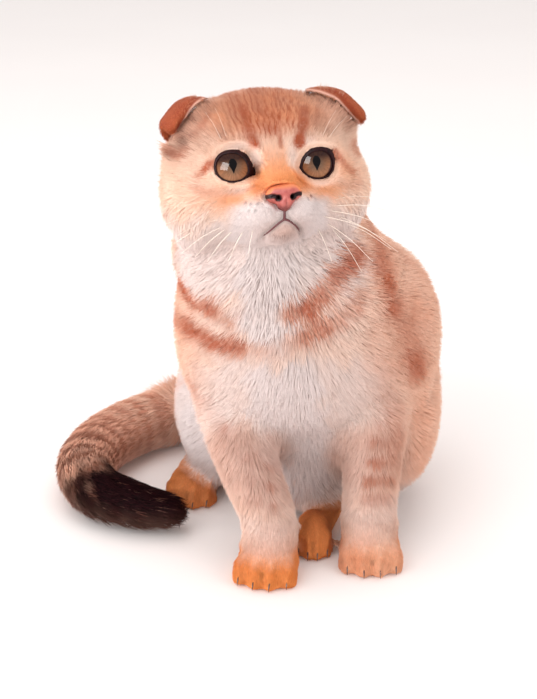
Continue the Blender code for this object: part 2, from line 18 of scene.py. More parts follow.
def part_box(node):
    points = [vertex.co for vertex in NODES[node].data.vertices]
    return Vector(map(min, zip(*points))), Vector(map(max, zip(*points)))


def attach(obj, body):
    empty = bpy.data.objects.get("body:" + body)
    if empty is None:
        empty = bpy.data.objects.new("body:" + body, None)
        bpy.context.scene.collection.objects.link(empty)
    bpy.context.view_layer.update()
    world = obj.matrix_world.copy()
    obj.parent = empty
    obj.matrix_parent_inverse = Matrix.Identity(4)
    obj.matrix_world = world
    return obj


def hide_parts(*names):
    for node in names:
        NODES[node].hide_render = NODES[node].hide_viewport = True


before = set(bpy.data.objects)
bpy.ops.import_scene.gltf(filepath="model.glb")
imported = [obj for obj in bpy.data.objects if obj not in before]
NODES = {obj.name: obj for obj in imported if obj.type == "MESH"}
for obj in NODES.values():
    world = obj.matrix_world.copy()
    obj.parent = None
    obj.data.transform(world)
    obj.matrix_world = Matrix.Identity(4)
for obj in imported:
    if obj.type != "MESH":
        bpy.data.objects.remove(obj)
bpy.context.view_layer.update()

MM, PER_METRE = 0.001, 1000
SIDES = (-1, 1)  # of the head: its right and its left

# The head and eyes, as in the part.
HEAD_CENTRE = Vector((-2.3, -18, 171.5))
HEAD_PITCH, HEAD_YAW, HEAD_ROLL = -17.0, 9.0, -2.8
EYE_SPREAD, EYE_DEPTH, EYE_LIFT, EYE_RADIUS = 16.3, -22.9, 0.3, 9.0

# The middle of the face, how far back the face goes, and a place well before it, in the head.
FACE_MIDDLE = np.array([0, -34, -6])
FACE_BACK, BEFORE_FACE = -22, -80

# How far the lids, the skin's rim and its hollow behind the eyeball lie from the eye's middle.
LID_REACH, RIM_RADIUS, HOLLOW_RADIUS = 9.3, 9.1, 8.2

# The opening between the lids and the outer edge of their dark rim, as pixels of the photograph.
OPENINGS = {
    -1: [(215.7, 167.5), (217.0, 160.8), (221.7, 155.3), (228.3, 153.3), (235.0, 153.2), (240.8, 155.6),
         (245.0, 160.0), (247.5, 165.8), (248.2, 171.7), (245.8, 176.0), (241.0, 179.4), (234.0, 181.0),
         (226.7, 180.3), (220.8, 177.2), (217.0, 173.0)],
    1: [(302.5, 168.3), (303.3, 162.5), (307.0, 156.3), (313.3, 152.0), (320.8, 150.6), (327.5, 152.8),
        (331.7, 157.5), (333.2, 163.3), (332.5, 169.2), (329.2, 174.2), (323.7, 177.0), (317.5, 177.7),
        (310.8, 176.2), (305.8, 173.0)],
}
RIMS = {
    -1: [(214.2, 167.5), (215.3, 160.0), (220.0, 153.7), (226.7, 150.5), (234.2, 149.7), (241.7, 151.3),
         (247.5, 155.8), (251.7, 162.5), (254.7, 169.2), (255.6, 174.4), (249.0, 176.8), (242.0, 180.1),
         (234.6, 181.6), (226.7, 180.9), (220.3, 178.0), (216.2, 173.5)],
    1: [(300.3, 168.3), (301.3, 161.7), (305.0, 154.2), (311.7, 148.8), (320.0, 147.0), (328.3, 148.3),
        (333.6, 152.5), (335.0, 160.0), (334.0, 168.3), (330.3, 174.5), (324.4, 177.8), (318.0, 178.3),
        (310.9, 176.9), (305.5, 173.8)],
}

# The line of the mouth, as places (x, z) of the face in the head.
MOUTH_LINES = [
    [(1.4, -15.5), (1.3, -18.0), (1.2, -20.6)],
    [(1.2, -20.6), (-0.6, -21.7), (-3.0, -23.6), (-5.4, -25.7), (-7.4, -27.6)],
    [(1.2, -20.6), (3.3, -21.6), (5.9, -23.6), (8.6, -26.0), (11.0, -28.4)],
]

# Each paw's stand: where it is, how many degrees it is turned, and half its breadth.
PAWS = [
    ((44.3, -36, 0), 0, 14.6),
    ((0, -47, 0), -10, 14.6),
    ((20.5, -21, 0), -4, 8.8),
    ((-35, 27, 0), -10, 12.5),
]

# The camera, in the pose frame, what it spans at its target, and the photograph's frame in pixels.
TARGET = Vector((0.0, 0.0, 84.5))
DISTANCE, ELEVATION, SPAN, SENSOR = 700.0, math.radians(22), 307.6, 36
WIDE, HIGH = 537, 699

# Half the width of the nose's leather at heights of the head, and its middle.
NOSE_HEIGHTS = [-17.6, -16.6, -15.3, -14.1, -13.3, -12.7, -12.0, -11.0, -9.6, -8.4, -7.4, -6.8]
NOSE_WIDTHS = [-0.6, 0.7, 1.7, 2.7, 3.8, 5.4, 6.6, 6.6, 5.4, 4.2, 2.7, -0.5]
NOSE_ASIDE = 1.9

# The size of the voxels that each surface is made anew with, in metres.
SKIN_VOXEL, EAR_VOXEL, NOSE_VOXEL = 0.00132, 0.0006, 0.00028

# The lowest that the skin and the tufts come to the floor.
SKIN_LOWEST, TUFT_LOWEST = 0.25, 0.15

# Depth of the coat over the skin, by node.
COAT_DEPTH = {
    "head": 3.2, "neck": 4.4, "torso": 4.0, "thigh": 4.0, "foreleg": 3.2, "forepaw": 1.4, "hindpaw": 1.4,
    "tail_base": 5.0, "tail_middle": 5.0, "tail_tip": 4.6,
}
FACE_DEPTH = 1.3

# The skin slopes to the lids within this many times their rims' outline, and is pulled to an ear's
# free edge from this far.
LID_SLOPE, EAR_PULL = 1.55, 13

# How far up a tuft its markings are taken, so that they lie where the coat is seen.
MARKED_AT = 0.8

# The path of the tail, as in the part.
TAIL_STOPS = [
    (4, 88, 24), (-30, 93, 17), (-57, 80, 14.5), (-78, 57, 13.5),
    (-86, 31, 13), (-80, 8, 12), (-64, -5, 11), (-49, -10, 10),
]


# Places and frames.


def head_frame():
    yaw = Matrix.Rotation(math.radians(HEAD_YAW), 4, "Z")
    pitch = Matrix.Rotation(math.radians(HEAD_PITCH), 4, "X")
    roll = Matrix.Rotation(math.radians(HEAD_ROLL), 4, "Y")
    return Matrix.Translation(HEAD_CENTRE) @ yaw @ pitch @ roll


HEAD = head_frame()
HEAD_TURN = np.array(HEAD.to_3x3())
HEAD_PLACE = np.array(HEAD.translation)
HEAD_AHEAD, HEAD_UP = HEAD.to_3x3() @ Vector((0, 1, 0)), HEAD.to_3x3() @ Vector((0, 0, 1))


def eye_centre(side):
    return Vector((side * EYE_SPREAD, EYE_DEPTH, EYE_LIFT))


def shift_of_pose():
    """From the pose frame to the model frame, read off one eye."""
    low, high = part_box("eye_left")
    return (low + high) / 2 * PER_METRE - HEAD @ eye_centre(1)


SHIFT = shift_of_pose()
SHIFT_ROW = np.array(SHIFT)


def to_head(points):
    """Points of the pose frame as places in the head."""
    return (points - HEAD_PLACE) @ HEAD_TURN


def from_head(points):
    return points @ HEAD_TURN.T + HEAD_PLACE


VIEW_AHEAD = Vector((0, math.cos(ELEVATION), -math.sin(ELEVATION)))
VIEW_UP = Vector((0, math.sin(ELEVATION), math.cos(ELEVATION)))
EYE_POINT = TARGET - VIEW_AHEAD * DISTANCE
AHEAD_ROW, UP_ROW, EYE_ROW = np.array(VIEW_AHEAD), np.array(VIEW_UP), np.array(EYE_POINT)
PIXELS = HIGH * DISTANCE / SPAN


def view_ray(px, py):
    """The way from the camera through a pixel of the photograph, one long along its axis."""
    right = Vector((1, 0, 0)) * ((px - WIDE / 2) / PIXELS)
    return VIEW_AHEAD + right + VIEW_UP * ((HIGH / 2 - py) / PIXELS)


def at_depth(px, py, depth):
    return EYE_POINT + view_ray(px, py) * depth


def depth_of(point):
    return (Vector(point) - EYE_POINT).dot(VIEW_AHEAD)


def pixels_of(points):
    """Where points are in the photograph."""
    rel = points - EYE_ROW
    ahead = rel @ AHEAD_ROW
    across, up = rel[:, 0] / ahead, rel @ UP_ROW / ahead
    return np.stack([WIDE / 2 + across * PIXELS, HIGH / 2 - up * PIXELS, 0 * ahead], 1)


# Numbers.


def step(low, high, value):
    """From 0 at low to 1 at high, smoothly. Low may be the larger of the two."""
    t = np.clip((value - low) / (high - low), 0, 1)
    return t * t * (3 - 2 * t)


def bump(value, centre, reach):
    """1 at the centre, falling off to both sides."""
    return np.exp(-(((value - centre) / reach) ** 2))


def unit(vectors):
    return vectors / np.maximum(np.linalg.norm(vectors, axis=1, keepdims=True), 1e-9)


def along(vectors, outward):
    """The vectors laid along the surface whose outward normals are given."""
    return unit(vectors - outward * (vectors * outward).sum(1, keepdims=True))


def ripple(points, size, seed):
    """Smooth noise from -1 to 1 with features of about the given size."""
    draw = np.random.default_rng(seed)
    waves = unit(draw.normal(size=(9, 3))) * (math.tau / size) * draw.uniform(0.6, 1.5, (9, 1)) * 0.5
    return np.clip(np.sin(points @ waves.T + draw.uniform(0, math.tau, 9)).sum(1) / 4.0, -1, 1)


def smooth_path(stops, count):
    """Points along a smooth curve through the stops."""
    stops = [np.array(s, float) for s in stops]
    ends = [2 * stops[0] - stops[1]] + stops + [2 * stops[-1] - stops[-2]]
    path = []
    for k in range(count):
        t = k / (count - 1) * (len(stops) - 1)
        i = min(int(t), len(stops) - 2)
        t -= i
        p0, p1, p2, p3 = ends[i : i + 4]
        bend = 2 * p0 - 5 * p1 + 4 * p2 - p3
        twist = 3 * p1 - p0 - 3 * p2 + p3
        path.append(0.5 * (2 * p1 + (p2 - p0) * t + bend * t * t + twist * t**3))
    return np.array(path)


def off_path(points, path, limit):
    """Distance of each point from a path, no more than the limit."""
    found = np.full(len(points), float(limit))
    low, high = path.min(0) - limit, path.max(0) + limit
    close = np.nonzero(((points > low) & (points < high)).all(1))[0]
    for start in range(0, len(close), 20000):
        part = close[start : start + 20000]
        gaps = np.linalg.norm(points[part, None, :] - path[None], axis=2)
        found[part] = np.minimum(gaps.min(1), limit)
    return found


# Meshes.


def put(name, mesh, material, slot, *replaced):
    """Adds a mesh as a piece of the cat, in place of the CAD nodes that are named last."""
    mesh.name = name
    piece = bpy.data.objects.new(name, mesh)
    bpy.context.scene.collection.objects.link(piece)
    mesh.materials.clear()
    mesh.materials.append(material)
    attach(piece, "root")
    if replaced:
        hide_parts(*replaced)
    return piece


def places(mesh):
    flat = np.empty(len(mesh.vertices) * 3)
    mesh.vertices.foreach_get("co", flat)
    return flat.reshape(-1, 3) * PER_METRE - SHIFT_ROW


def normals(mesh):
    flat = np.empty(len(mesh.vertices) * 3)
    mesh.vertices.foreach_get("normal", flat)
    return flat.reshape(-1, 3)


def move(mesh, points):
    mesh.vertices.foreach_set("co", ((points + SHIFT_ROW) * MM).ravel())
    mesh.update()


def edges_of(mesh):
    flat = np.empty(len(mesh.edges) * 2, int)
    mesh.edges.foreach_get("vertices", flat)
    return flat.reshape(-1, 2)


def triangles_of(mesh):
    mesh.calc_loop_triangles()
    flat = np.empty(len(mesh.loop_triangles) * 3, int)
    mesh.loop_triangles.foreach_get("vertices", flat)
    return flat.reshape(-1, 3)


def mesh_of(name, points, faces):
    """A smooth mesh from points and faces of one size, both as arrays."""
    mesh = bpy.data.meshes.new(name)
    faces = np.asarray(faces)
    size = faces.shape[1]
    mesh.vertices.add(len(points))
    mesh.loops.add(faces.size)
    mesh.polygons.add(len(faces))
    mesh.loops.foreach_set("vertex_index", faces.ravel().astype(np.int32))
    mesh.polygons.foreach_set("loop_start", np.arange(0, faces.size, size, dtype=np.int32))
    move(mesh, points)
    mesh.validate()
    return mesh


def paint(mesh, name, values):
    """Stores four numbers a vertex, which the materials read."""
    layer = mesh.attributes.new(name, "FLOAT_COLOR", "POINT")
    layer.data.foreach_set("color", np.ascontiguousarray(values, np.float32).ravel())


def blurred(values, edges, times, held=None):
    """Averages the values at vertices with those of their neighbours, less where held is small."""
    a, b = edges.T
    count = len(values)
    flat = np.asarray(values, float).reshape(count, -1)
    degree = np.bincount(a, minlength=count) + np.bincount(b, minlength=count)
    pull = 0.5 / np.maximum(degree, 1)
    pull = pull if held is None else pull * held
    for _ in range(times):
        total = np.empty_like(flat)
        for k in range(flat.shape[1]):
            row = flat[:, k]
            total[:, k] = np.bincount(a, row[b], count) + np.bincount(b, row[a], count)
        flat = flat + (total - flat * degree[:, None]) * pull[:, None]
    return flat.reshape(np.shape(values))


def modified(mesh, kind, **settings):
    """A new mesh, with one modifier applied."""
    thing = bpy.data.objects.new("working", mesh)
    bpy.context.scene.collection.objects.link(thing)
    change = thing.modifiers.new(kind, kind)
    for key, value in settings.items():
        setattr(change, key, value)
    graph = bpy.context.evaluated_depsgraph_get()
    made = bpy.data.meshes.new_from_object(thing.evaluated_get(graph))
    bpy.data.objects.remove(thing)
    return made


def joined_nodes(names, grow, extras=()):
    """The named nodes as one mesh, each grown a little so that they touch."""
    whole = bmesh.new()
    for name in names:
        part = bmesh.new()
        part.from_mesh(NODES[name].data)
        bmesh.ops.remove_doubles(part, verts=part.verts, dist=2e-5)
        bmesh.ops.recalc_face_normals(part, faces=part.faces)
        part.normal_update()
        for v in part.verts:
            v.co += v.normal * grow * MM
        held = bpy.data.meshes.new("part")
        part.to_mesh(held)
        part.free()
        whole.from_mesh(held)
    for centre, radius in extras:
        place = Matrix.Translation((centre + SHIFT) * MM)
        bmesh.ops.create_icosphere(whole, subdivisions=4, radius=radius * MM, matrix=place)
    mesh = bpy.data.meshes.new("whole")
    whole.to_mesh(mesh)
    whole.free()
    return mesh


def revolved(path, radii, around, flat=1.0):
    """A tube with closed ends along a path."""
    path = np.asarray(path, float)
    ahead = unit(np.gradient(path, axis=0))
    side = unit(np.cross(ahead, [0.13, 0.21, 0.97]))
    up = np.cross(side, ahead)
    spin = np.arange(around) * math.tau / around
    sideways, upwards = np.cos(spin)[None, :, None] * flat, np.sin(spin)[None, :, None]
    spokes = side[:, None] * sideways + up[:, None] * upwards
    rings = path[:, None] + np.asarray(radii)[:, None, None] * spokes
    points = np.concatenate([rings.reshape(-1, 3), path[:1], path[-1:]])
    faces = []
    count = len(path)
    for i in range(count - 1):
        for j in range(around):
            k = (j + 1) % around
            a, b = i * around + j, i * around + k
            faces += [[a, b, b + around], [a, b + around, a + around]]
    for j in range(around):
        k = (j + 1) % around
        faces.append([count * around, k, j])
        faces.append([count * around + 1, (count - 1) * around + j, (count - 1) * around + k])
    return points, np.array(faces)


def gathered(name, shapes):
    """One mesh of several shapes, each its points and faces."""
    points, faces, start = [], [], 0
    for p, f in shapes:
        points.append(p)
        faces.append(f + start)
        start += len(p)
    return mesh_of(name, np.concatenate(points), np.concatenate(faces))


# The ears' free edges, and which node each place is on.

# The free edge of each folded ear, as pixels of the photograph. The flap shows above it, and the
# head's hair keeps off the flap from a few pixels above it.
EAR_LINES = {
    "ear_right": [(150, 152), (160, 150), (167, 145), (173.5, 139), (182, 124), (189, 111), (195, 104),
                  (202, 98.5), (215, 93.5), (235, 90)],
    "ear_left": [(310, 89.5), (320, 91.5), (327, 94), (334, 97), (339, 100.5), (343, 105), (350, 113),
                 (356, 120), (361, 125), (370, 133)],
}
ROOTS_CLEAR, HAIR_CLEAR, TIPS_CLEAR = 1.5, 3.0, 3.5


def below_edge(name, spots):
    """How many pixels below the free edge of an ear each spot of the photograph is."""
    return spots[:, 1] - np.interp(spots[:, 0], *np.array(EAR_LINES[name]).T)


def ear_tree(name):
    mesh = NODES[name].data
    return BVHTree.FromPolygons([Vector(p) for p in places(mesh)], triangles_of(mesh).tolist())


EAR_TREES = {name: ear_tree(name) for name in EAR_LINES}


def edge_on_ear(name):
    """The free edge, as the photograph's camera finds it on the part's ear."""
    path = smooth_path([(*p, 0) for p in EAR_LINES[name]], 60)
    hits = [EAR_TREES[name].ray_cast(EYE_POINT, view_ray(px, py).normalized())[0] for px, py, _ in path]
    return np.array([h for h in hits if h])


EAR_PATHS = [edge_on_ear(name) for name in EAR_LINES]
FLESH = sorted(n for n in NODES if not n.startswith(("eye", "ear")) and n != "nose")


def nearest_nodes(points, names):
    """The index in names of the node that each point is nearest to."""
    corners, faces, owner = [], [], []
    for index, name in enumerate(names):
        mesh = NODES[name].data
        start = len(corners)
        corners += [Vector(p) for p in places(mesh)]
        tri = triangles_of(mesh)
        faces += (tri + start).tolist()
        owner += [index] * len(tri)
    tree = BVHTree.FromPolygons(corners, faces)
    return np.array([owner[tree.find_nearest(Vector(p))[2]] for p in points])


def is_node(labels, word):
    return np.isin(labels, [i for i, n in enumerate(FLESH) if word in n])


def soft_node(labels, word, edges, times):
    """1 on the nodes with the word in their name, with a soft border."""
    return blurred(is_node(labels, word).astype(float), edges, times)


def part_weights(labels, edges):
    """How much each vertex belongs to the tail, a foreleg, a forepaw and a hind paw, softly parted."""
    words = ("tail", "foreleg", "forepaw", "hindpaw")
    return np.stack([soft_node(labels, word, edges, 14) for word in words], 1)


# The openings of the eyes.


def polar_outline(side, pixels):
    """An outline in the photograph as angles and distances about the eye, in the head."""
    centre = HEAD @ eye_centre(side)
    stops = [np.array((*p, 0)) for p in pixels]
    path = smooth_path(stops[-1:] + stops + stops[:2], 120)
    found = []
    for px, py, _ in path:
        ray = view_ray(px, py).normalized()
        to_centre = centre - EYE_POINT
        along = to_centre.dot(ray)
        off = to_centre.length_squared - along * along
        hit = EYE_POINT + ray * (along - math.sqrt(max(LID_REACH**2 - off, 0.0)))
        spot = HEAD.inverted() @ hit - eye_centre(side)
        found.append((math.atan2(spot.z, spot.x * side), math.hypot(spot.x, spot.z)))
    return np.array(sorted(found)).T


OPEN_SHAPE = {side: polar_outline(side, OPENINGS[side]) for side in SIDES}
RIM_SHAPE = {side: polar_outline(side, RIMS[side]) for side in SIDES}


def lid_reach(side, angle, shape):
    """How far an outline of the eye is from its middle, the way an angle points."""
    return np.interp(angle, *shape[side], period=math.tau)


def eye_window(head, side):
    """Below 1 within the lids' dark rim and above 1 outside it, for points near one eye."""
    x = (head[:, 0] - side * EYE_SPREAD) * side
    z = head[:, 2] - EYE_LIFT
    value = np.hypot(x, z) / lid_reach(side, np.arctan2(z, x), RIM_SHAPE)
    away = np.linalg.norm(head - np.array(eye_centre(side)), axis=1)
    ahead = (head[:, 1] < EYE_DEPTH + 2) & (away < 17)
    return np.where(ahead, value, 9.0)


# The skin.


def off_face(head):
    """Distance from the middle of the face, a little less high than broad."""
    return np.linalg.norm((head - FACE_MIDDLE) * [1, 1, 1.1], axis=1)


def coat_depth(head, labels, edges):
    """The depth of the coat over each vertex, next to nothing at the eyes and the mouth."""
    lookup = [next(COAT_DEPTH[key] for key in COAT_DEPTH if name.startswith(key)) for name in FLESH]
    on_face = FACE_DEPTH + (COAT_DEPTH["head"] - FACE_DEPTH) * step(16, 44, off_face(head))
    depth = np.where(is_node(labels, "head"), on_face, np.array(lookup)[labels])
    depth = blurred(depth, edges, 40)
    beside_eyes = np.minimum(*[eye_window(head, side) for side in SIDES])
    depth *= 0.1 + 0.9 * step(1.15, 2.0, beside_eyes)
    off_mouth = np.linalg.norm((head - [0, -37, -15]) * [0.75, 1, 0.8], axis=1)
    return depth * (0.05 + 0.95 * step(6, 14, off_mouth))


def open_eyes(head):
    """Sinks the face into the eyes' openings, round to their rims. Places are in the head."""
    for side in SIDES:
        centre = np.array(eye_centre(side))
        window = eye_window(head, side)
        across = np.hypot(head[:, 0] - centre[0], head[:, 2] - centre[2])
        inside = centre[1] - np.sqrt(np.maximum(HOLLOW_RADIUS**2 - across**2, 0.5))
        edge = np.minimum(across, across / np.maximum(window, 0.1))
        rim = centre[1] - np.sqrt(np.maximum(RIM_RADIUS**2 - edge**2, 1.0))
        slope = rim + (head[:, 1] - rim) * step(1.0, LID_SLOPE, window)
        spoke = np.arctan2(head[:, 2] - centre[2], (head[:, 0] - centre[0]) * side)
        opening = lid_reach(side, spoke, OPEN_SHAPE) / lid_reach(side, spoke, RIM_SHAPE) + 0.05
        depth_there = np.where(window < opening, inside, np.maximum(slope, head[:, 1]))
        head[:, 1] = np.where(window < LID_SLOPE, depth_there, head[:, 1])


def raise_round_nose(head):
    """Brings the face forward along the top of the nose's leather. Places are in the head."""
    top = [(NOSE_ASIDE - w, 0, z) for w, z in zip(NOSE_WIDTHS[6:-1], NOSE_HEIGHTS[6:-1])]
    top += [(2 * NOSE_ASIDE - x, 0, z) for x, _, z in reversed(top)]
    off_top = off_path(head * [1, 0, 1], smooth_path(top, 40), 5)
    head[:, 1] -= 0.9 * (1 - step(0.5, 3.8, off_top)) * (head[:, 1] < FACE_BACK)


def reach_ears(points):
    """Pulls the skin out to just under the ears' free edges."""
    for name, path in zip(EAR_LINES, EAR_PATHS):
        close = np.nonzero(off_path(points, path, EAR_PULL + 1) < EAR_PULL)[0]
        gaps = path[None] + AHEAD_ROW * 1.2 - points[close, None]
        far = np.linalg.norm(gaps, axis=2)
        nearest = far.argmin(1)
        each = np.arange(len(close))
        share = 0.94 - 0.94 * step(2.5, 12.0, far[each, nearest])
        share *= step(-3, 7, np.minimum(nearest, len(path) - 1 - nearest))
        share *= 0.45 + 0.55 * step(-2.5, 1.0, below_edge(name, pixels_of(points[close])))
        points[close] += gaps[each, nearest] * share[:, None]


def make_skin():
    """The skin with its points, edges, the node at each point and the depth of the coat there."""
    balls = [(HEAD @ eye_centre(side), EYE_RADIUS + 0.7) for side in SIDES]
    mesh = modified(joined_nodes(FLESH, 0.25, balls), "REMESH", mode="VOXEL", voxel_size=SKIN_VOXEL)
    edges, points = edges_of(mesh), places(mesh)
    head = to_head(points)
    labels = nearest_nodes(points, FLESH)
    paws = is_node(labels, "paw")
    softness = np.where(paws, 0.12, 0.12 + 0.88 * step(16, 46, off_face(head)))
    points = blurred(points, edges, 14, softness)
    toes = blurred(points, edges, 9) - points
    points = points - toes * (0.7 * paws)[:, None]
    move(mesh, points)

    depth = coat_depth(head, labels, edges)
    neck_side = is_node(labels, "neck") * step(18, 30, np.abs(points[:, 0])) * step(16, 0, points[:, 1])
    neck_side = 2.6 * blurred(neck_side, edges, 12)
    haunch = soft_node(labels, "thigh", edges, 10)
    depth += 7.0 * haunch * (1 - haunch) * step(8, 30, points[:, 2]) - neck_side
    depth = np.where(paws, depth * step(-0.5, 5, points[:, 2]), depth)
    points = points - unit(blurred(normals(mesh), edges, 3)) * depth[:, None]
    points = blurred(points, edges, 3, softness)
    head = to_head(points)
    open_eyes(head)
    raise_round_nose(head)
    points = from_head(head)
    reach_ears(points)
    points[:, 2] = np.maximum(points[:, 2], SKIN_LOWEST)
    move(mesh, points)
    return mesh, points, edges, labels, np.maximum(depth + neck_side, 0.5)


# The lie of the coat.


TAIL = smooth_path(TAIL_STOPS, 160)
TAIL_AHEAD = unit(np.gradient(TAIL, axis=0))
TAIL_ARC = np.concatenate([[0], np.cumsum(np.linalg.norm(np.diff(TAIL, axis=0), axis=1))])


def along_tail(points):
    """The index on the tail's path that each point is nearest to."""
    found = np.zeros(len(points), int)
    for start in range(0, len(points), 20000):
        part = points[start : start + 20000]
        found[start : start + 20000] = np.linalg.norm(part[:, None] - TAIL[None], axis=2).argmin(1)
    return found


def lie_of_coat(points, outward, edges, labels):
    """The way the hair points at each vertex of the skin, along the skin."""
    head = to_head(points)
    lie = np.tile([0.0, 0.9, -0.75], (len(points), 1))
    lie[:, 0] = np.clip((points[:, 0] - 4) / 40, -1, 1) * 0.45
    lie[is_node(labels, "foreleg")] = (0.0, 0.12, -1.0)
    lie[is_node(labels, "paw")] = (0.0, -0.85, -0.5)
    tail = is_node(labels, "tail")
    lie[tail] = TAIL_AHEAD[along_tail(points[tail])]
    face = unit(head - [0, -41, -9.0])
    face[:, 2] -= 0.25 * step(-4, -30, head[:, 2])
    face[:, 2] -= 1.6 * step(18, 30, np.abs(head[:, 0])) * step(-6, -18, head[:, 2])
    for side in SIDES:
        centre = np.array(eye_centre(side)) + [0, -6, 0]
        window = eye_window(head, side)[:, None]
        face = face + unit(head - centre) * 1.6 * (1 - step(1.2, 2.1, window))
    on_head = is_node(labels, "head")
    lie[on_head] = (face @ HEAD_TURN.T)[on_head]
    wide = lie
    for _ in range(3):
        wide = along(blurred(wide, edges, 8), outward)
    fine = blurred(along(lie, outward), edges, 3)
    on_face = (1 - step(24, 40, np.linalg.norm(head - FACE_MIDDLE, axis=1)))[:, None]
    return unit(wide * (1 - on_face) + fine * on_face)


# Markings.


class Surface:
    """Finds places on a surface: under a pixel of the photograph, from a side or from behind."""

    def __init__(self, points, triangles):
        self.tree = BVHTree.FromPolygons([Vector(p) for p in points], triangles)

    def hit(self, start, way, otherwise):
        found = self.tree.ray_cast(start, way)[0]
        return found if found else self.tree.find_nearest(otherwise)[0]

    def seen(self, px, py):
        return self.hit(EYE_POINT, view_ray(px, py).normalized(), at_depth(px, py, DISTANCE))

    def side_on(self, side, y, z):
        return self.hit(Vector((side * 200, y, z)), Vector((-side, 0, 0)), Vector((side * 60, y, z)))

    def behind(self, x, z):
        return self.hit(Vector((x, 200, z)), Vector((0, -1, 0)), Vector((x, 80, z)))

    def on_face(self, x, z):
        """The point at a place of the face, seen from straight ahead of the head."""
        return self.tree.ray_cast(HEAD @ Vector((x, BEFORE_FACE, z)), HEAD_AHEAD)[0]


def path_of(stops):
    return smooth_path(stops, 8 * len(stops))


def paw_stand(place, turn):
    return Matrix.Translation(place) @ Matrix.Rotation(math.radians(turn), 4, "Z")


# Each mark is a strength, a half width and its stops as pixels of the photograph. Most are tabby bars;
# two are painted shade.
SEEN_STRIPES_AND_SHADE = [
    (1.30, 5.0, [(170, 268), (185, 293), (207, 310)]),
    (0.55, 3.0, [(207, 312), (228, 324)]),
    (0.30, 2.8, [(212, 312), (250, 320), (290, 319)]),
    (1.00, 4.4, [(290, 319), (310, 313), (330, 297), (346, 273), (362, 251)]),
    (0.92, 4.0, [(172, 313), (194, 335), (212, 347), (238, 351)]),
    (0.45, 3.0, [(238, 351), (262, 354), (290, 346)]),
    (0.68, 3.8, [(288, 346), (320, 335), (346, 319), (364, 297)]),
    (0.64, 6.5, [(380, 238), (387, 272), (394, 304)]),
    (1.00, 5.6, [(390, 286), (396, 304)]),
    (0.50, 6.5, [(396, 304), (408, 332), (418, 360)]),
    (0.75, 5.0, [(418, 358), (422, 374)]),
    (0.60, 4.5, [(393, 405), (400, 438), (398, 462)]),
    (0.50, 2.2, [(384, 428), (402, 424)]),
    (0.58, 2.2, [(374, 447), (400, 444)]),
    (0.62, 2.2, [(370, 466), (398, 463)]),
    (0.62, 2.2, [(366, 485), (396, 483)]),
    (0.50, 2.0, [(364, 503), (392, 502)]),
    (0.42, 2.0, [(246, 462), (268, 470), (290, 468)]),
    (0.45, 2.0, [(248, 482), (272, 490), (294, 487)]),
    (0.42, 2.0, [(250, 503), (274, 510), (296, 507)]),
    # Painted shade: the crease between the right foreleg and the thigh behind it.
    (0.40, 2.4, [(186, 383), (206, 410), (220, 430)]),
    (1.20, 2.2, [(241, 104), (246, 117), (250, 129), (254, 142)]),
    (1.15, 1.8, [(304, 104), (304, 117), (302, 129), (299, 141)]),
    (0.80, 0.9, [(274, 92), (278, 108), (279, 124), (281, 144)]),
    (0.65, 0.9, [(262, 92), (265, 108), (268, 122)]),
    (0.65, 0.9, [(290, 92), (290, 108), (289, 122)]),
    (0.55, 1.2, [(228, 100), (233, 110), (237, 121)]),
    (0.50, 1.2, [(318, 100), (318, 112), (316, 122)]),
    (0.60, 1.6, [(208, 112), (200, 124), (192, 134)]),
    (0.60, 1.8, [(358, 136), (357, 144), (359, 152)]),
    # Painted shade under the right ear's tip.
    (0.80, 2.0, [(167, 150), (175, 154), (182, 148)]),
    (0.95, 1.5, [(213, 163), (204, 167), (195, 174)]),
    (0.90, 1.6, [(336, 155), (346, 164), (357, 171)]),
    (0.40, 1.6, [(190, 186), (200, 192), (214, 193)]),
    (0.40, 1.6, [(344, 186), (352, 187), (362, 184)]),
]


# Other markings, as pixels of the photograph: the whiskers' dark roots, the shade under an ear, the
# middles of the white parts, and the rows between which the ruff ends.
WHISKER_SPOTS = [
    (244, 203), (250, 204), (257, 204), (248, 211), (255, 211), (309, 199), (313, 196), (317, 199),
]
UNDER_EAR = [(165, 154), (172, 150), (180, 142)]
BIB = [(278, 236), (270, 270), (270, 318)]
CHEST = [(268, 318), (280, 380), (292, 440), (300, 476)]
THROAT = [(190, 258), (230, 252), (285, 250), (330, 250)]
INNER_THIGH = [(180, 412), (192, 440), (212, 470)]
HAUNCH = (202, 452)
RUFF_ENDS = (352, 376)

# Bars that the photograph doesn't show, on each side: how far back and how strong the upright ones
# are and the heights they pass, the places (y, z) of those on the thighs, and the spine's heights.
FLANK_BARS = ((8, 0.5), (28, 0.6), (48, 0.6))
BAR_HEIGHTS = (132, 112, 92, 74)
THIGH_BARS = ((36, 52), (50, 44), (62, 34))
SPINE_HEIGHTS = (168, 150, 130, 110, 90, 70, 52)


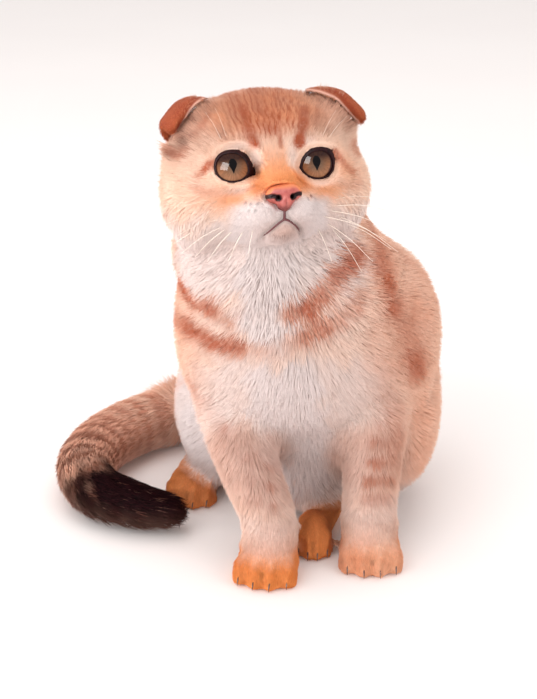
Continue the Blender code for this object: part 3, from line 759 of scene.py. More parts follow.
class MarkPaths:
    """Where the markings run, on the coat's surface. The lips are on the skin."""

    def __init__(self, skin, coat):
        def seen_path(pixels):
            return path_of([coat.seen(*p) for p in pixels])

        # Lines between the toes, along which painted shade lies.
        self.toe_gaps = []
        for place, turn, width in PAWS:
            for share in (-0.667, 0, 0.667):
                x = share * width * 0.74
                stops = ((x, -19, 0), (x, -18.5, 4), (x, -16.5, 8))
                self.toe_gaps.append(path_of([paw_stand(place, turn) @ Vector(p) for p in stops]))
        self.under_ear = seen_path(UNDER_EAR)
        self.lips = [path_of([skin.on_face(*p) for p in line]) for line in MOUTH_LINES]
        self.stripes = [(s, w, seen_path(stops)) for s, w, stops in SEEN_STRIPES_AND_SHADE]
        for side in SIDES:
            for y, strength in FLANK_BARS:
                stops = [coat.side_on(side, y + k * 4, z) for k, z in enumerate(BAR_HEIGHTS)]
                self.stripes.append((strength * (0.6 if side > 0 else 1.0), 2.6, path_of(stops)))
            for y, z in THIGH_BARS:
                stops = [coat.side_on(side, y + dy, z + dz) for dy, dz in ((-10, 6), (0, 0), (6, -14))]
                self.stripes.append((0.5, 2.6, path_of(stops)))
        self.stripes.append((0.75, 4.4, path_of([coat.behind(2, z) for z in SPINE_HEIGHTS])))
        self.bib, self.chest = seen_path(BIB), seen_path(CHEST)
        self.throat, self.inner_thigh = seen_path(THROAT), seen_path(INNER_THIGH)
        self.spots = np.array([coat.seen(*p) for p in WHISKER_SPOTS])
        self.haunch = np.array(coat.seen(*HAUNCH))


class Marks:
    """The markings at some points of the coat's surface, each a share from 0 to 1.

    On the head x is across, y back and z up, and wide is the distance from the middle of the face.
    """

    def __init__(self, paths, points, outward, part):
        self.paths, self.points, self.outward = paths, points, outward
        self.tail_share, self.foreleg, self.forepaw, self.hindpaw = part.T
        head = to_head(points)
        reach = np.linalg.norm(head, axis=1)
        self.x, self.y, self.z = head.T
        self.wide = np.abs(self.x - 1.3 * step(0, -9, self.z) * (reach < 60))
        self.height = points[:, 2]
        self.wobble, self.fine = ripple(points, 14, 3), ripple(points, 4.5, 5)
        self.on_head = 1 - step(45, 54, reach)
        self.ahead = step(2, -12, self.y) * self.on_head
        self.off_bib, self.off_chest = off_path(points, paths.bib, 60), off_path(points, paths.chest, 60)
        self.white, self.stripe, self.warm, self.dark, self.grey, self.orange = np.zeros((6, len(points)))

    def raise_to(self, mark, *values):
        """Makes a mark at least as strong as each of the values."""
        setattr(self, mark, np.maximum.reduce([getattr(self, mark), *values]))

    def make_stripes(self):
        y, z, wide, fine = self.y, self.z, self.wide, self.fine
        for strength, half, path in self.paths.stripes:
            gap = off_path(self.points, path, half * 3) + 0.3 * half * fine
            self.raise_to("stripe", strength * (1 - step(half * 0.2, half * 2.2, gap)))
        self.stripe *= 0.85 + 0.25 * self.wobble
        threads = (0.5 + 0.5 * np.sin(self.x * 2.7 + 2.8 * fine)) ** 1.5 * (0.95 + 0.05 * step(14, 24, z))
        threads *= (1 - 0.8 * step(11, 20, wide)) * (0.2 + 0.8 * step(20, 4, y))
        crown = step(20, 32, z) * 0.6 * (1 - step(12, 24, wide))
        forehead = np.maximum.reduce([bump(wide, 0, 9) * 0.58, threads, crown])
        forehead = forehead * self.on_head * step(9, 16, z)
        self.raise_to("stripe", forehead * (0.95 + 0.35 * fine))

    def make_white(self):
        points, z, wide, fine = self.points, self.z, self.wide, self.fine
        muzzle = step(-9.5, -15.0, z + 0.15 * np.maximum(wide - 8, 0) + 0.8 * fine)
        muzzle *= 1 - step(17, 27, wide + 0.3 * z + 6)
        below = step(-15, -26, z) * (0.68 - 0.42 * step(12, 32, wide))
        corner = bump(wide, 7.4, 1.9) * bump(z, 4.0, 4.5) * 0.5
        brow = bump(wide, 13.0, 5.5) * bump(z, 9.0, 2.0) * 0.4
        under = bump(wide, 16, 7) * bump(z, -8.2, 1.6) * 0.42
        self.white = np.maximum.reduce([muzzle, below, corner, brow, under]) * self.ahead
        off_throat = off_path(points, self.paths.throat, 40) + 3 * fine
        off_thigh = off_path(points, self.paths.inner_thigh, 40) + 3 * fine
        ragged = 7 * ripple(points, 5, 8) + 5 * fine
        below_ruff = step(*RUFF_ENDS, pixels_of(points)[:, 1] + ragged)
        self.raise_to(
            "white",
            0.95 - 0.95 * step(10, 24, self.off_bib + 3 * fine),
            0.8 - 0.8 * step(14, 30, off_throat),
            0.95 * (1 - step(12, 32, self.off_chest + 3 * fine)) * below_ruff,
            0.7 * (1 - step(26, 60, self.off_chest)) * (0.5 + 0.5 * below_ruff),
            0.9 - 0.9 * step(14, 34, off_thigh),
            0.55 * step(-0.35, -0.8, self.outward[:, 2]) * (1 - self.on_head),
        )
        self.white *= 1 - 0.9 * step(0.15, 0.7, self.stripe)

    def tint_face_and_flanks(self):
        z, wide, ahead = self.z, self.wide, self.ahead
        bridge = step(11, 1, z) * step(-14, -8, z)
        bridge *= 1 - step(0.75, 1.3, wide / (4.6 + np.maximum(1 - z, 0) * 0.95))
        wings = bump(wide, 9.2, 2.6) * bump(z, -7.0, 4.5) * ahead
        gold = bump(wide, 19, 9) * bump(z, -11.5, 4.8) * 0.62 * ahead
        cheek = bump(wide, 30, 7) * bump(z, -4, 7) * ahead
        forehead = step(10, 20, z) * 0.5 * (1 - step(16, 30, wide)) * ahead
        nose = bridge * (0.58 + 0.24 * step(4, -5, z)) * ahead
        self.raise_to("orange", nose, 0.9 * wings, gold, forehead, 0.32 * cheek * (self.x > 0))
        self.raise_to("stripe", 0.35 * wings)
        flank = step(26, 54, self.off_bib) * step(24, 50, self.off_chest) * (1 - self.on_head)
        self.raise_to("warm", 0.15 * cheek, flank * (0.33 + 0.16 * self.wobble))
        self.raise_to("warm", 0.4 * step(10, 22, z) * ahead, 0.35 * (self.on_head - ahead))
        self.white *= 1 - 0.9 * np.maximum(bridge * ahead, 0)

    def tint_legs(self):
        height, foreleg, forepaw, hindpaw = self.height, self.foreleg, self.forepaw, self.hindpaw
        self.raise_to("warm", foreleg * (0.12 + 0.3 * step(22, 40, height)))
        toes = (0.02 + 0.62 * step(14.5, 8, height)) * (0.7 + 0.75 * (self.points[:, 0] < 22))
        self.raise_to("orange", forepaw * toes + foreleg * 0.06 * step(40, 18, height), hindpaw * 0.95)
        self.white *= (1 - 0.95 * hindpaw) * (1 - 0.9 * forepaw) * (1 - 0.5 * foreleg)
        self.raise_to("white", 0.42 * np.minimum(foreleg + forepaw, 1) * bump(height, 22, 8))
        off_haunch = np.linalg.norm((self.points - self.paths.haunch) * [1, 0.6, 0.7], axis=1)
        off_tail = 1 - np.minimum(self.tail_share * 3, 1)
        self.raise_to("white", (1 - step(14, 34, off_haunch)) * (1 - hindpaw) * off_tail)

    def paint_shade_in_creases(self):
        """Painted shade: soft dark on the hind paws, between the toes and under the right ear; along the
        lips it is the lips' own dark with painted shade of the crease.
        """
        # Painted shade on the hind paws, between the toes and under the right ear's tip; along the lips,
        # their own dark with painted shade.
        self.dark = 0.1 * self.hindpaw
        for line in self.paths.toe_gaps:
            self.raise_to("dark", 0.3 - 0.3 * step(0.4, 1.4, off_path(self.points, line, 3)))
        for line in self.paths.lips:
            self.raise_to("dark", 0.4 - 0.4 * step(0.5, 2.4, off_path(self.points, line, 3)))
        off_ear = off_path(self.points, self.paths.under_ear, 5)
        self.raise_to("dark", 0.5 * (0.7 + 0.3 * self.fine) * (1 - step(1.2, 4.2, off_ear)))

    def ring_tail(self):
        """Warm hair with rings, which grow darker to the sooty tip."""
        tail = self.tail_share > 0.25
        if not tail.any():
            return
        full, points = self.tail_share[tail], self.points[tail]
        here = along_tail(points)
        arc = TAIL_ARC[here]
        share = arc / TAIL_ARC[-1]
        above = step(-10, 6, points[:, 2] - TAIL[here, 2])
        rings = 0.5 + 0.5 * np.sin(arc * math.tau / 9.8 + 1.5 * ripple(points, 15, 9))
        ringed = (0.2 + 0.28 * step(0.1, 0.45, share)) * step(0.3, 0.95, rings) * (0.75 + 0.25 * above)
        self.stripe[tail] = np.maximum(self.stripe[tail] * (1 - full), ringed * full)
        warmth = (0.22 + 0.34 * step(0.35, 0.65, share)) * full
        self.warm[tail] = np.maximum(self.warm[tail] * (1 - full), warmth)
        self.white[tail] = self.white[tail] * (1 - full) + 0.2 * (1 - above) * full
        sooty = step(0.7, 0.87, share + 0.035 * ripple(points, 7, 12)) * (0.85 + 0.15 * above)
        self.dark[tail] = np.maximum(sooty, 0.62 * step(0.48, 0.78, share) * step(0.2, 0.9, rings)) * full

    def spot_whiskers(self):
        gaps = np.full(len(self.points), 9.0)
        for spot in self.paths.spots:
            gaps = np.minimum(gaps, np.linalg.norm(self.points - spot, axis=1))
        self.raise_to("stripe", 1 - step(0.5, 1.4, gaps))
        self.raise_to("dark", 0.3 * (1 - step(0.4, 1.1, gaps)))

    def make_grey(self):
        """The ashy, ticked hair of the temples, brows, ears' roots and upper forelegs, and a greyer chin."""
        y, z, wide, on_head = self.y, self.z, self.wide, self.on_head
        temple = bump(wide, 32, 8) * bump(z, 16, 9) * step(8, -4, y) * on_head * (0.42 + 0.55 * (self.x < 0))
        off_flaps = np.minimum(*[off_path(self.points, path, 9) for path in EAR_PATHS])
        by_flap = on_head * (1 - step(2.0, 9.0, off_flaps))
        brows = 0.55 * step(8, 16, wide) * step(8, 13, z) * on_head * step(10, -6, y)
        aside = np.maximum(step(7, 14, wide), step(19, 28, z))
        crown = 0.42 * step(9, 15, z) * on_head * (0.3 + 0.7 * aside) * step(20, 4, y)
        legs = 0.22 * self.foreleg * step(22, 40, self.height)
        ticked = np.maximum.reduce([temple, 0.75 * by_flap, crown, brows, legs])
        chin = 0.62 * bump(wide, 0, 8.5) * bump(z, -26, 4.5) * self.ahead
        self.grey = np.maximum(np.clip(ticked * (0.75 + 0.35 * self.fine), 0, 1), chin)

    def table(self):
        self.make_stripes()
        self.make_white()
        self.tint_face_and_flanks()
        self.tint_legs()
        self.paint_shade_in_creases()
        self.ring_tail()
        self.spot_whiskers()
        self.make_grey()
        columns = [self.white, self.stripe, self.warm, self.dark, self.grey, self.orange]
        return np.clip(np.stack(columns, 1), 0, 1)


# Tufts.


class Roots:
    """Points that tufts grow from, with what the skin has there."""

    def __init__(self, points, triangles, fields, density, seed):
        draw = np.random.default_rng(seed)
        a, b, c = (points[triangles[:, k]] for k in range(3))
        area = np.linalg.norm(np.cross(b - a, c - a), axis=1) / 2
        wanted = area * density[triangles].mean(1)
        count = int(wanted.sum())
        ladder = np.cumsum(wanted)
        pick = np.searchsorted(ladder, (np.arange(count) + draw.random(count)) / count * ladder[-1])
        pick = np.minimum(pick, len(triangles) - 1)
        u, v = draw.random((2, count))
        fold = u + v > 1
        u, v = np.where(fold, 1 - u, u), np.where(fold, 1 - v, v)
        share = np.stack([1 - u - v, u, v], 1)
        corner = triangles[pick]
        self.draw, self.count = draw, count
        self.place = (points[corner] * share[:, :, None]).sum(1)
        self.outward = unit((fields["outward"][corner] * share[:, :, None]).sum(1))
        self.lie = unit((fields["lie"][corner] * share[:, :, None]).sum(1))
        self.depth = (fields["depth"][corner] * share).sum(1)
        self.part = (fields["part"][corner] * share[:, :, None]).sum(1)

    def keep(self, chosen):
        for key in ("place", "outward", "lie", "depth", "part"):
            setattr(self, key, getattr(self, key)[chosen])
        self.count = len(self.place)


def nearest_of(centres, points):
    """The index of the centre that each point is nearest to."""
    tree = KDTree(len(centres))
    for k, p in enumerate(centres):
        tree.insert(p, k)
    tree.balance()
    return np.array([tree.find(p)[1] for p in points])


# The triangles of a tuft with a bend in it and of one without.
BENT = [
    (0, 1, 4), (0, 4, 3), (1, 2, 5), (1, 5, 4), (2, 0, 3), (2, 3, 5),
    (3, 4, 6), (4, 5, 6), (5, 3, 6), (0, 2, 1),
]
STRAIGHT = [(0, 1, 3), (1, 2, 3), (2, 0, 3), (0, 2, 1)]

# The corners on the upper ridge of a tuft, by its count of corners.
UPPER = {4: [2], 7: [2, 5]}


ROOTED = 0.35  # how deep a tuft starts in the skin
BEND = 0.22  # how far it turns down again along its length, in radians


def tuft_shapes(roots, length, width, height, sway, clump, pull, bent):
    """Corner places, shading normals, the share from root to tip, and the group of each tuft.

    Sway is in radians, clump the count of tufts in a group, and pull how far their tips meet.
    """
    draw, count = roots.draw, roots.count
    groups = max(1, int(count / clump))
    heads = draw.choice(count, groups, replace=False)
    group = nearest_of(roots.place[heads], roots.place)
    turn = draw.normal(0, sway * 0.75, groups)[group] + draw.normal(0, sway * 0.5, count)
    out, lie = roots.outward, roots.lie
    side = unit(np.cross(out, lie))
    ahead = lie * np.cos(turn)[:, None] + side * np.sin(turn)[:, None]
    long = length * draw.uniform(0.78, 1.16, count) * draw.uniform(0.9, 1.1, groups)[group]
    tall = height * draw.uniform(0.62, 1.04, count) * draw.uniform(0.92, 1.08, groups)[group]
    lift = np.arcsin(np.clip(tall / long, 0.06, 0.92))
    curl = draw.normal(0, 0.16, count)
    onward = unit(ahead + side * curl[:, None])

    def half_way(start, way, rise):
        return start + (way * np.cos(rise)[:, None] + out * np.sin(rise)[:, None]) * (long * 0.5)[:, None]

    base = roots.place - out * ROOTED
    middle = half_way(base, ahead, lift + BEND)
    tip = half_way(middle, onward, lift - BEND)
    pull = pull * draw.uniform(0.5, 1.0, count)[:, None]
    home = heads[group]
    tip = tip + (tip[home] - tip) * pull
    middle = middle + (middle[home] - middle) * pull * 0.45
    across = unit(np.cross(out, tip - base))
    up = unit(np.cross(tip - base, across))
    wide = width * draw.uniform(0.75, 1.25, count)
    half, rise = across * (wide * 0.5)[:, None], up * (wide * 0.42)[:, None]
    rings, share, lean = [base - half, base + half, base + rise], [0, 0, 0], [-0.35, 0.35, 0]
    if bent:
        rings += [middle - half * 0.85, middle + half * 0.85, middle + rise * 0.85]
        share, lean = share + [0.5] * 3, lean * 2
    points = np.stack([*rings, tip], 1)
    points[:, :, 2] = np.maximum(points[:, :, 2], TUFT_LOWEST)
    shading = [unit(up * 0.5 + out * 2.4 + across * k) for k in (*lean, 0)]
    under = unit((tip - base) * 0.9 / long[:, None] - up * 0.35)
    return points, np.stack([*shading, under], 1), np.array([*share, 1], float), group


class Unwrap:
    """Where points of the skin lie on a flat unwrap of it."""

    def __init__(self, mesh, share):
        proxy = modified(mesh.copy(), "DECIMATE", ratio=share)
        thing = bpy.data.objects.new("unwrap", proxy)
        bpy.context.scene.collection.objects.link(thing)
        bpy.context.view_layer.objects.active = thing
        thing.select_set(True)
        bpy.ops.object.mode_set(mode="EDIT")
        bpy.ops.mesh.select_all(action="SELECT")
        bpy.ops.mesh.quads_convert_to_tris()
        bpy.ops.uv.smart_project(angle_limit=1.15, island_margin=0.004)
        bpy.ops.object.mode_set(mode="OBJECT")
        flat = np.empty(len(proxy.loops) * 2)
        proxy.uv_layers[0].data.foreach_get("uv", flat)
        self.uv = flat.reshape(-1, 3, 2)
        corners = np.empty(len(proxy.loops), int)
        proxy.loops.foreach_get("vertex_index", corners)
        self.corners = places(proxy)[corners.reshape(-1, 3)]
        shape = self.corners.reshape(-1, 3)
        index = np.arange(len(shape)).reshape(-1, 3)
        self.tree = BVHTree.FromPolygons([Vector(p) for p in shape], index.tolist())
        bpy.data.objects.remove(thing)

    def at(self, points):
        found = [self.tree.find_nearest(Vector(p)) for p in points]
        face = np.array([f[2] for f in found])
        hit = np.array([f[0] for f in found])
        a, b, c = (self.corners[face, k] for k in range(3))
        whole = np.cross(b - a, c - a)
        size = np.maximum((whole * whole).sum(1), 1e-12)
        v = (np.cross(hit - a, c - a) * whole).sum(1) / size
        w = (np.cross(b - a, hit - a) * whole).sum(1) / size
        share = np.clip(np.stack([1 - v - w, v, w], 1), 0, 1)
        return (self.uv[face] * share[:, :, None]).sum(1)


PATCH = 0.0015  # half the breadth of a tuft's patch on the unwrap
MOST_TRIANGLES = 190000


def add_coat(name, roots, shapes, marks, unwrap, material, slot):
    """Makes the tufts of one region into pieces of the cat."""
    points, shading, share, group = shapes
    corners = points.shape[1]
    pattern = np.array(BENT if corners == 7 else STRAIGHT)
    below = ~np.isin(pattern, UPPER[corners]).any(1)
    corner_shading = np.where(below[:, None], corners, pattern).ravel()
    spots = marks(roots.place + (points[:, -1] - roots.place) * MARKED_AT, roots.outward, roots.part)
    where = unwrap.at(roots.place)
    shade = roots.draw.random(roots.count) * 0.42 + roots.draw.random(group.max() + 1)[group] * 0.58
    side = [-1, 1, 0, -0.7, 0.7, 0, 0] if corners == 7 else [-1, 1, 0, 0]
    spread = np.stack([side, share * 2 - 1], 1) * PATCH
    parts = math.ceil(roots.count / (MOST_TRIANGLES // len(pattern)))
    order = np.argsort(roots.place[:, 2], kind="stable")
    for index, chosen in enumerate(np.array_split(order, parts)):
        label = name if parts == 1 else f"{name}_{index + 1}"
        size = len(chosen)
        faces = (pattern[None] + (np.arange(size) * corners)[:, None, None]).reshape(-1, 3)
        mesh = mesh_of(label, points[chosen].reshape(-1, 3), faces)
        each = np.repeat(spots[chosen], corners, 0)
        paint(mesh, "marks", each[:, :4])
        from_root, shades = np.tile(share, size), np.repeat(shade[chosen], corners)
        paint(mesh, "tuft", np.stack([from_root, shades, each[:, 4], each[:, 5]], 1))
        uv = (where[chosen][:, None] + spread[None]).reshape(-1, 2)
        layer = mesh.uv_layers.new(name="OFBake")
        layer.data.foreach_set("uv", uv[faces.ravel()].astype(np.float32).ravel())
        mesh.normals_split_custom_set(shading[chosen][:, corner_shading].reshape(-1, 3))
        put(label, mesh, material, slot)


# Materials.


def srgb(red, green, blue):
    parts = [c / 255 for c in (red, green, blue)]
    return (*[c / 12.92 if c < 0.04045 else ((c + 0.055) / 1.055) ** 2.4 for c in parts], 1)


CREAM = srgb(250, 220, 200)
PEACH = srgb(240, 200, 176)
SALMON = srgb(216, 138, 106)
ORANGE = srgb(234, 138, 62)
TABBY = srgb(178, 86, 52)
PALE = srgb(228, 214, 211)
SOOT = srgb(20, 5, 7)
MAROON = srgb(62, 22, 28)
ASH = srgb(186, 136, 114)
TICKING = srgb(112, 60, 48)


class Shader:
    """A material, with short calls that add its nodes."""

    def __init__(self, name, roughness=0.6, specular=0.3):
        self.material = bpy.data.materials.new(name)
        self.material.use_nodes = True
        self.tree = self.material.node_tree
        self.surface = next(n for n in self.tree.nodes if n.type == "BSDF_PRINCIPLED")
        self.surface.inputs["Roughness"].default_value = roughness
        self.surface.inputs["Specular IOR Level"].default_value = specular

    def add(self, kind, **settings):
        node = self.tree.nodes.new("ShaderNode" + kind)
        for key, value in settings.items():
            setattr(node, key, value)
        return node

    def give(self, socket, value):
        if hasattr(value, "is_linked") or hasattr(value, "links"):
            self.tree.links.new(value, socket)
        else:
            socket.default_value = value

    def set(self, socket, value):
        self.give(self.surface.inputs[socket], value)

    def painted(self, name):
        """The four numbers of a vertex that are stored under a name."""
        stored = self.add("Attribute", attribute_name=name)
        parts = self.add("SeparateColor")
        self.give(parts.inputs[0], stored.outputs["Color"])
        return [*parts.outputs][:3] + [stored.outputs["Alpha"]]

    def mix(self, share, first, second, blend="MIX"):
        node = self.add("Mix", data_type="RGBA", blend_type=blend)
        self.give(node.inputs[0], share)
        self.give(node.inputs[6], first)
        self.give(node.inputs[7], second)
        return node.outputs[2]

    def maths(self, operation, first, second=0.0, clamp=False):
        node = self.add("Math", operation=operation, use_clamp=clamp)
        self.give(node.inputs[0], first)
        self.give(node.inputs[1], second)
        return node.outputs[0]

    def range(self, value, low, high, first=0.0, last=1.0):
        node = self.add("MapRange", interpolation_type="SMOOTHSTEP")
        for k, each in enumerate((value, low, high, first, last)):
            self.give(node.inputs[k], each)
        return node.outputs[0]

    def noise(self, scale, detail=3.0, stretch=None):
        place = self.add("TexCoord").outputs["Object"]
        if stretch:
            mapping = self.add("Mapping")
            self.give(mapping.inputs["Vector"], place)
            mapping.inputs["Scale"].default_value = stretch
            place = mapping.outputs[0]
        node = self.add("TexNoise")
        self.give(node.inputs["Vector"], place)
        node.inputs["Scale"].default_value = scale
        node.inputs["Detail"].default_value = detail
        return node.outputs["Fac"]

    def relief(self, height, strength, distance):
        node = self.add("Bump")
        node.inputs["Strength"].default_value = strength
        node.inputs["Distance"].default_value = distance
        self.give(node.inputs["Height"], height)
        self.give(self.surface.inputs["Normal"], node.outputs[0])


def coat_material(name, skin=False):
    """Hair with the markings: base, ginger, tabby bars, white, grey and sooty dark, from root to tip; some
    bars and dark are painted shade, and painted shade darkens each tuft towards its root.
    """
    s = Shader(name, 0.72, 0.09)
    white, stripe, warm, dark = s.painted("marks")
    tip, shade, grey, orange = s.painted("tuft")
    broad = s.noise(120.0)
    small = s.noise(650.0, 2.0)
    base = s.mix(s.range(broad, 0.35, 0.65), CREAM, PEACH)
    base = s.mix(0.6, base, PEACH)
    warm = s.maths("ADD", warm, s.maths("MULTIPLY", s.maths("SUBTRACT", small, 0.5), 0.35), clamp=True)
    colour = s.mix(warm, base, SALMON)
    colour = s.mix(orange, colour, ORANGE)
    stripe = s.maths("MULTIPLY", stripe, s.range(small, 0.2, 0.6, 0.75, 1.08), clamp=True)
    colour = s.mix(stripe, colour, TABBY)
    colour = s.mix(white, colour, PALE)
    colour = s.mix(grey, colour, ASH)
    ticked = s.maths("MULTIPLY", grey, s.range(shade, 0.58, 0.72, 0.0, 0.85))
    colour = s.mix(ticked, colour, TICKING)
    dark = s.maths("MULTIPLY", dark, s.range(shade, 0.85, 0.97, 1.0, 0.84))
    # The dark mark's colour: the tail's dark rings and sooty tip and the whiskers' roots, and painted shade
    # on the hind paws, between the toes, along the lips, under the right ear and on the ears' flaps.
    soot_and_shade = s.mix(s.range(tip, 0.5, 1.0, 0.0, 0.4), SOOT, MAROON)
    colour = s.mix(dark, colour, soot_and_shade)
    # Painted shade: each tuft darkens towards its root, and its root takes a warmer, darker tint, weaker on
    # white hair.
    root_shade = s.range(tip, 0.0, 0.75, 0.88, 1.0)
    lightness = s.maths("MULTIPLY", root_shade, s.range(shade, 0.0, 1.0, 0.91, 1.08))
    root_shade_tint = s.maths("MULTIPLY", s.range(tip, 0.0, 0.7, 0.35, 0.0), s.range(white, 0.0, 1.0, 1.0, 0.35))
    tinted = s.mix(root_shade_tint, colour, s.mix(0.4, colour, SALMON, "MULTIPLY"))
    value = s.add("CombineColor")
    for socket in value.inputs[:3]:
        s.give(socket, lightness)
    colour = s.mix(1.0, tinted, value.outputs[0], "MULTIPLY")
    s.set("Base Color", colour)
    s.set("Roughness", s.range(small, 0.0, 1.0, 0.62, 0.85))
    s.set("Sheen Weight", s.range(dark, 0.0, 1.0, 0.06, 0.01))
    s.set("Specular IOR Level", s.range(dark, 0.0, 1.0, 0.09, 0.02))
    s.set("Sheen Roughness", 0.5)
    s.set("Sheen Tint", srgb(255, 224, 206))
    if skin:
        s.relief(s.noise(1400.0, 2.0, (1, 1, 0.35)), 0.6, 0.0006)
    return s.material


# Where the hair grows.


def off_nose(head):
    """How far points of the face are outside the leather, sideways."""
    return np.abs(head[:, 0] - NOSE_ASIDE) - np.interp(head[:, 2], NOSE_HEIGHTS, NOSE_WIDTHS)


def bare(roots):
    """Whether each root is on a place without hair."""
    head = to_head(roots.place)
    no_hair = np.zeros(roots.count, bool)
    for side in SIDES:
        no_hair |= eye_window(head, side) < 1.04
    no_hair |= (off_nose(head) < 0.15) & (head[:, 1] < -25) & (head[:, 2] < -8.6)
    for path in MOUTH:
        no_hair |= off_path(roots.place, path, 2.0) < 0.8
    for name, path in zip(EAR_LINES, EAR_PATHS):
        above = -below_edge(name, pixels_of(roots.place))
        no_hair |= (off_path(roots.place, path, 7) < 6) & (above > ROOTS_CLEAR)
    no_hair |= (roots.place[:, 2] < 3.0) & (roots.outward[:, 2] < -0.55)
    return no_hair


def meets_ear(name, starts, ways, reaches, above):
    """Whether each ray meets the ear more than some pixels of the photograph above its free edge."""
    tree = EAR_TREES[name]
    hits = [tree.ray_cast(Vector(p), Vector(way), reach)[0] for p, way, reach in zip(starts, ways, reaches)]
    met = np.array([hit is not None for hit in hits], bool)
    spots = pixels_of(np.array([hit for hit in hits if hit is not None]).reshape(-1, 3))
    met[met] = below_edge(name, spots) < -above
    return met


def clear_of_features(roots, points):
    """Whether each tuft stays off the eyes, the lips and the nose, and out of the ears."""
    clear = np.ones(roots.count, bool)
    close = np.nonzero(np.linalg.norm(to_head(roots.place) - [0, -30, -5], axis=1) < 40)[0]
    for spot in (points[close, -1], (points[close, -1] + points[close, 0]) / 2):
        head = to_head(spot)
        for side in SIDES:
            clear[close] &= eye_window(head, side) > 1.0
        clear[close] &= (off_nose(head) > 0.1) | (head[:, 2] > -8)
        for path in MOUTH:
            clear[close] &= off_path(spot, path, 3.0) > 0.6
    for name, path in zip(EAR_LINES, EAR_PATHS):
        near = np.nonzero(off_path(roots.place, path, 26) < 25)[0]
        start = roots.place[near]
        reach = points[near, -1] - start
        over = meets_ear(name, start, reach, 1.1 * np.linalg.norm(reach, axis=1), HAIR_CLEAR)
        for share in (0.5, 0.8, 1.0):
            spots = start + reach * share
            over |= meets_ear(name, spots, spots - EYE_ROW, np.full(len(near), 25.0), TIPS_CLEAR)
        clear[near[over]] = False
    return clear


def grow(name, density, total, seed, length, width, height, sway, clump, pull, bent):
    """Grows one coat: the densities are shares, which the total count of tufts sets.

    Length, width and height are each a start and what a millimetre of the coat's depth adds.
    """
    a, b, c = (skin_points[skin_triangles[:, k]] for k in range(3))
    area = np.linalg.norm(np.cross(b - a, c - a), axis=1) / 2
    density = density * (total / (area * density[skin_triangles].mean(1)).sum())
    roots = Roots(skin_points, skin_triangles, fields, density, seed)
    roots.keep(~bare(roots))
    length, width, height = (start + more * roots.depth for start, more in (length, width, height))
    points, shading, share, group = tuft_shapes(roots, length, width, height, sway, clump, pull, bent)
    chosen = clear_of_features(roots, points)
    roots.keep(chosen)
    shapes = points[chosen], shading[chosen], share, group[chosen]
    add_coat(name, roots, shapes, marks, unwrap, COAT, "coat_golden")


def deepened(depth, labels, points, edges):
    """The reach of the tufts: further under the ears' edges, at the jowls and before the right ear."""
    x, _, z = to_head(points).T
    off_ears = np.minimum(*[off_path(points, path, 12) for path in EAR_PATHS])
    on_head = is_node(labels, "head")
    jowl = blurred(step(20, 30, np.abs(x)) * bump(z, -22, 13) * on_head, edges, 6)
    fluff = blurred(bump(np.abs(x), 37, 7) * step(-8, 4, z) * on_head * (points[:, 0] < 0), edges, 6)
    deep = depth - 0.35 * is_node(labels, "paw") + 1.3 * (1 - step(2.5, 8.0, off_ears))
    return np.maximum(deep + 2.0 * jowl + 1.5 * fluff, 0.5), jowl


# The two coats: fine straight tufts all over, and longer bent ones on the neck, tail and jowls.
COATS = {
    "coat_fine": dict(
        total=292000, seed=21, length=(1.2, 1.75), width=(0.33, 0.05), height=(0.2, 0.84),
        sway=0.14, clump=6, pull=0.24, bent=False,
    ),
    "coat_long": dict(
        total=27000, seed=22, length=(1.6, 2.0), width=(0.33, 0.05), height=(0.3, 0.8),
        sway=0.11, clump=5, pull=0.2, bent=True,
    ),
}

# How close the tufts stand, by node and on the face, as shares of their total count.
DENSITY = {"head": 5.2, "neck": 2.0, "torso": 1.9, "thigh": 1.9, "leg": 3.4, "paw": 5.5, "tail": 2.6}
FACE_DENSITY = 4.5


def density_of(points, outward, labels, edges):
    """How close the tufts stand at each vertex. None grow on the underside, by the floor."""
    density = np.zeros(len(points))
    for word, amount in DENSITY.items():
        density[is_node(labels, word)] = amount
    on_face = 1 - step(20, 44, off_face(to_head(points)))
    density += FACE_DENSITY * on_face * is_node(labels, "head")
    density = blurred(density, edges, 6)
    density[(points[:, 2] < 6) & (outward[:, 2] < -0.6)] = 0
    return density


# The skin and its coat.

skin_mesh, skin_points, skin_edges, skin_labels, skin_depth = make_skin()
skin_triangles = triangles_of(skin_mesh)
skin_outward = unit(blurred(normals(skin_mesh), skin_edges, 2))
coat_points = skin_points + skin_outward * (MARKED_AT * skin_depth)[:, None]
skin = Surface(skin_points, skin_triangles.tolist())
MARK_PATHS = MarkPaths(skin, Surface(coat_points, skin_triangles.tolist()))
MOUTH = [smooth_path([skin.on_face(*p) for p in line], 24) for line in MOUTH_LINES]
COAT, UNDERCOAT = coat_material("coat"), coat_material("undercoat", skin=True)


def marks(points, outward, part):
    return Marks(MARK_PATHS, points, outward, part).table()


tuft_depth, jowl = deepened(skin_depth, skin_labels, skin_points, skin_edges)
fields = {
    "outward": skin_outward,
    "lie": lie_of_coat(skin_points, skin_outward, skin_edges, skin_labels),
    "depth": tuft_depth,
    "part": part_weights(skin_labels, skin_edges),
}
skin_marks = marks(coat_points, skin_outward, fields["part"])
paint(skin_mesh, "marks", skin_marks[:, :4])
# The skin takes the tufts' colour 0.3 of the way from root to tip, so the coat material's painted root shade
# darkens it as deep coat seen between the tufts.
still = np.full(len(skin_points), 0.3)
paint(skin_mesh, "tuft", np.stack([still, still + 0.2, skin_marks[:, 4], skin_marks[:, 5]], 1))
put("skin", skin_mesh, UNDERCOAT, "coat_golden", *FLESH)

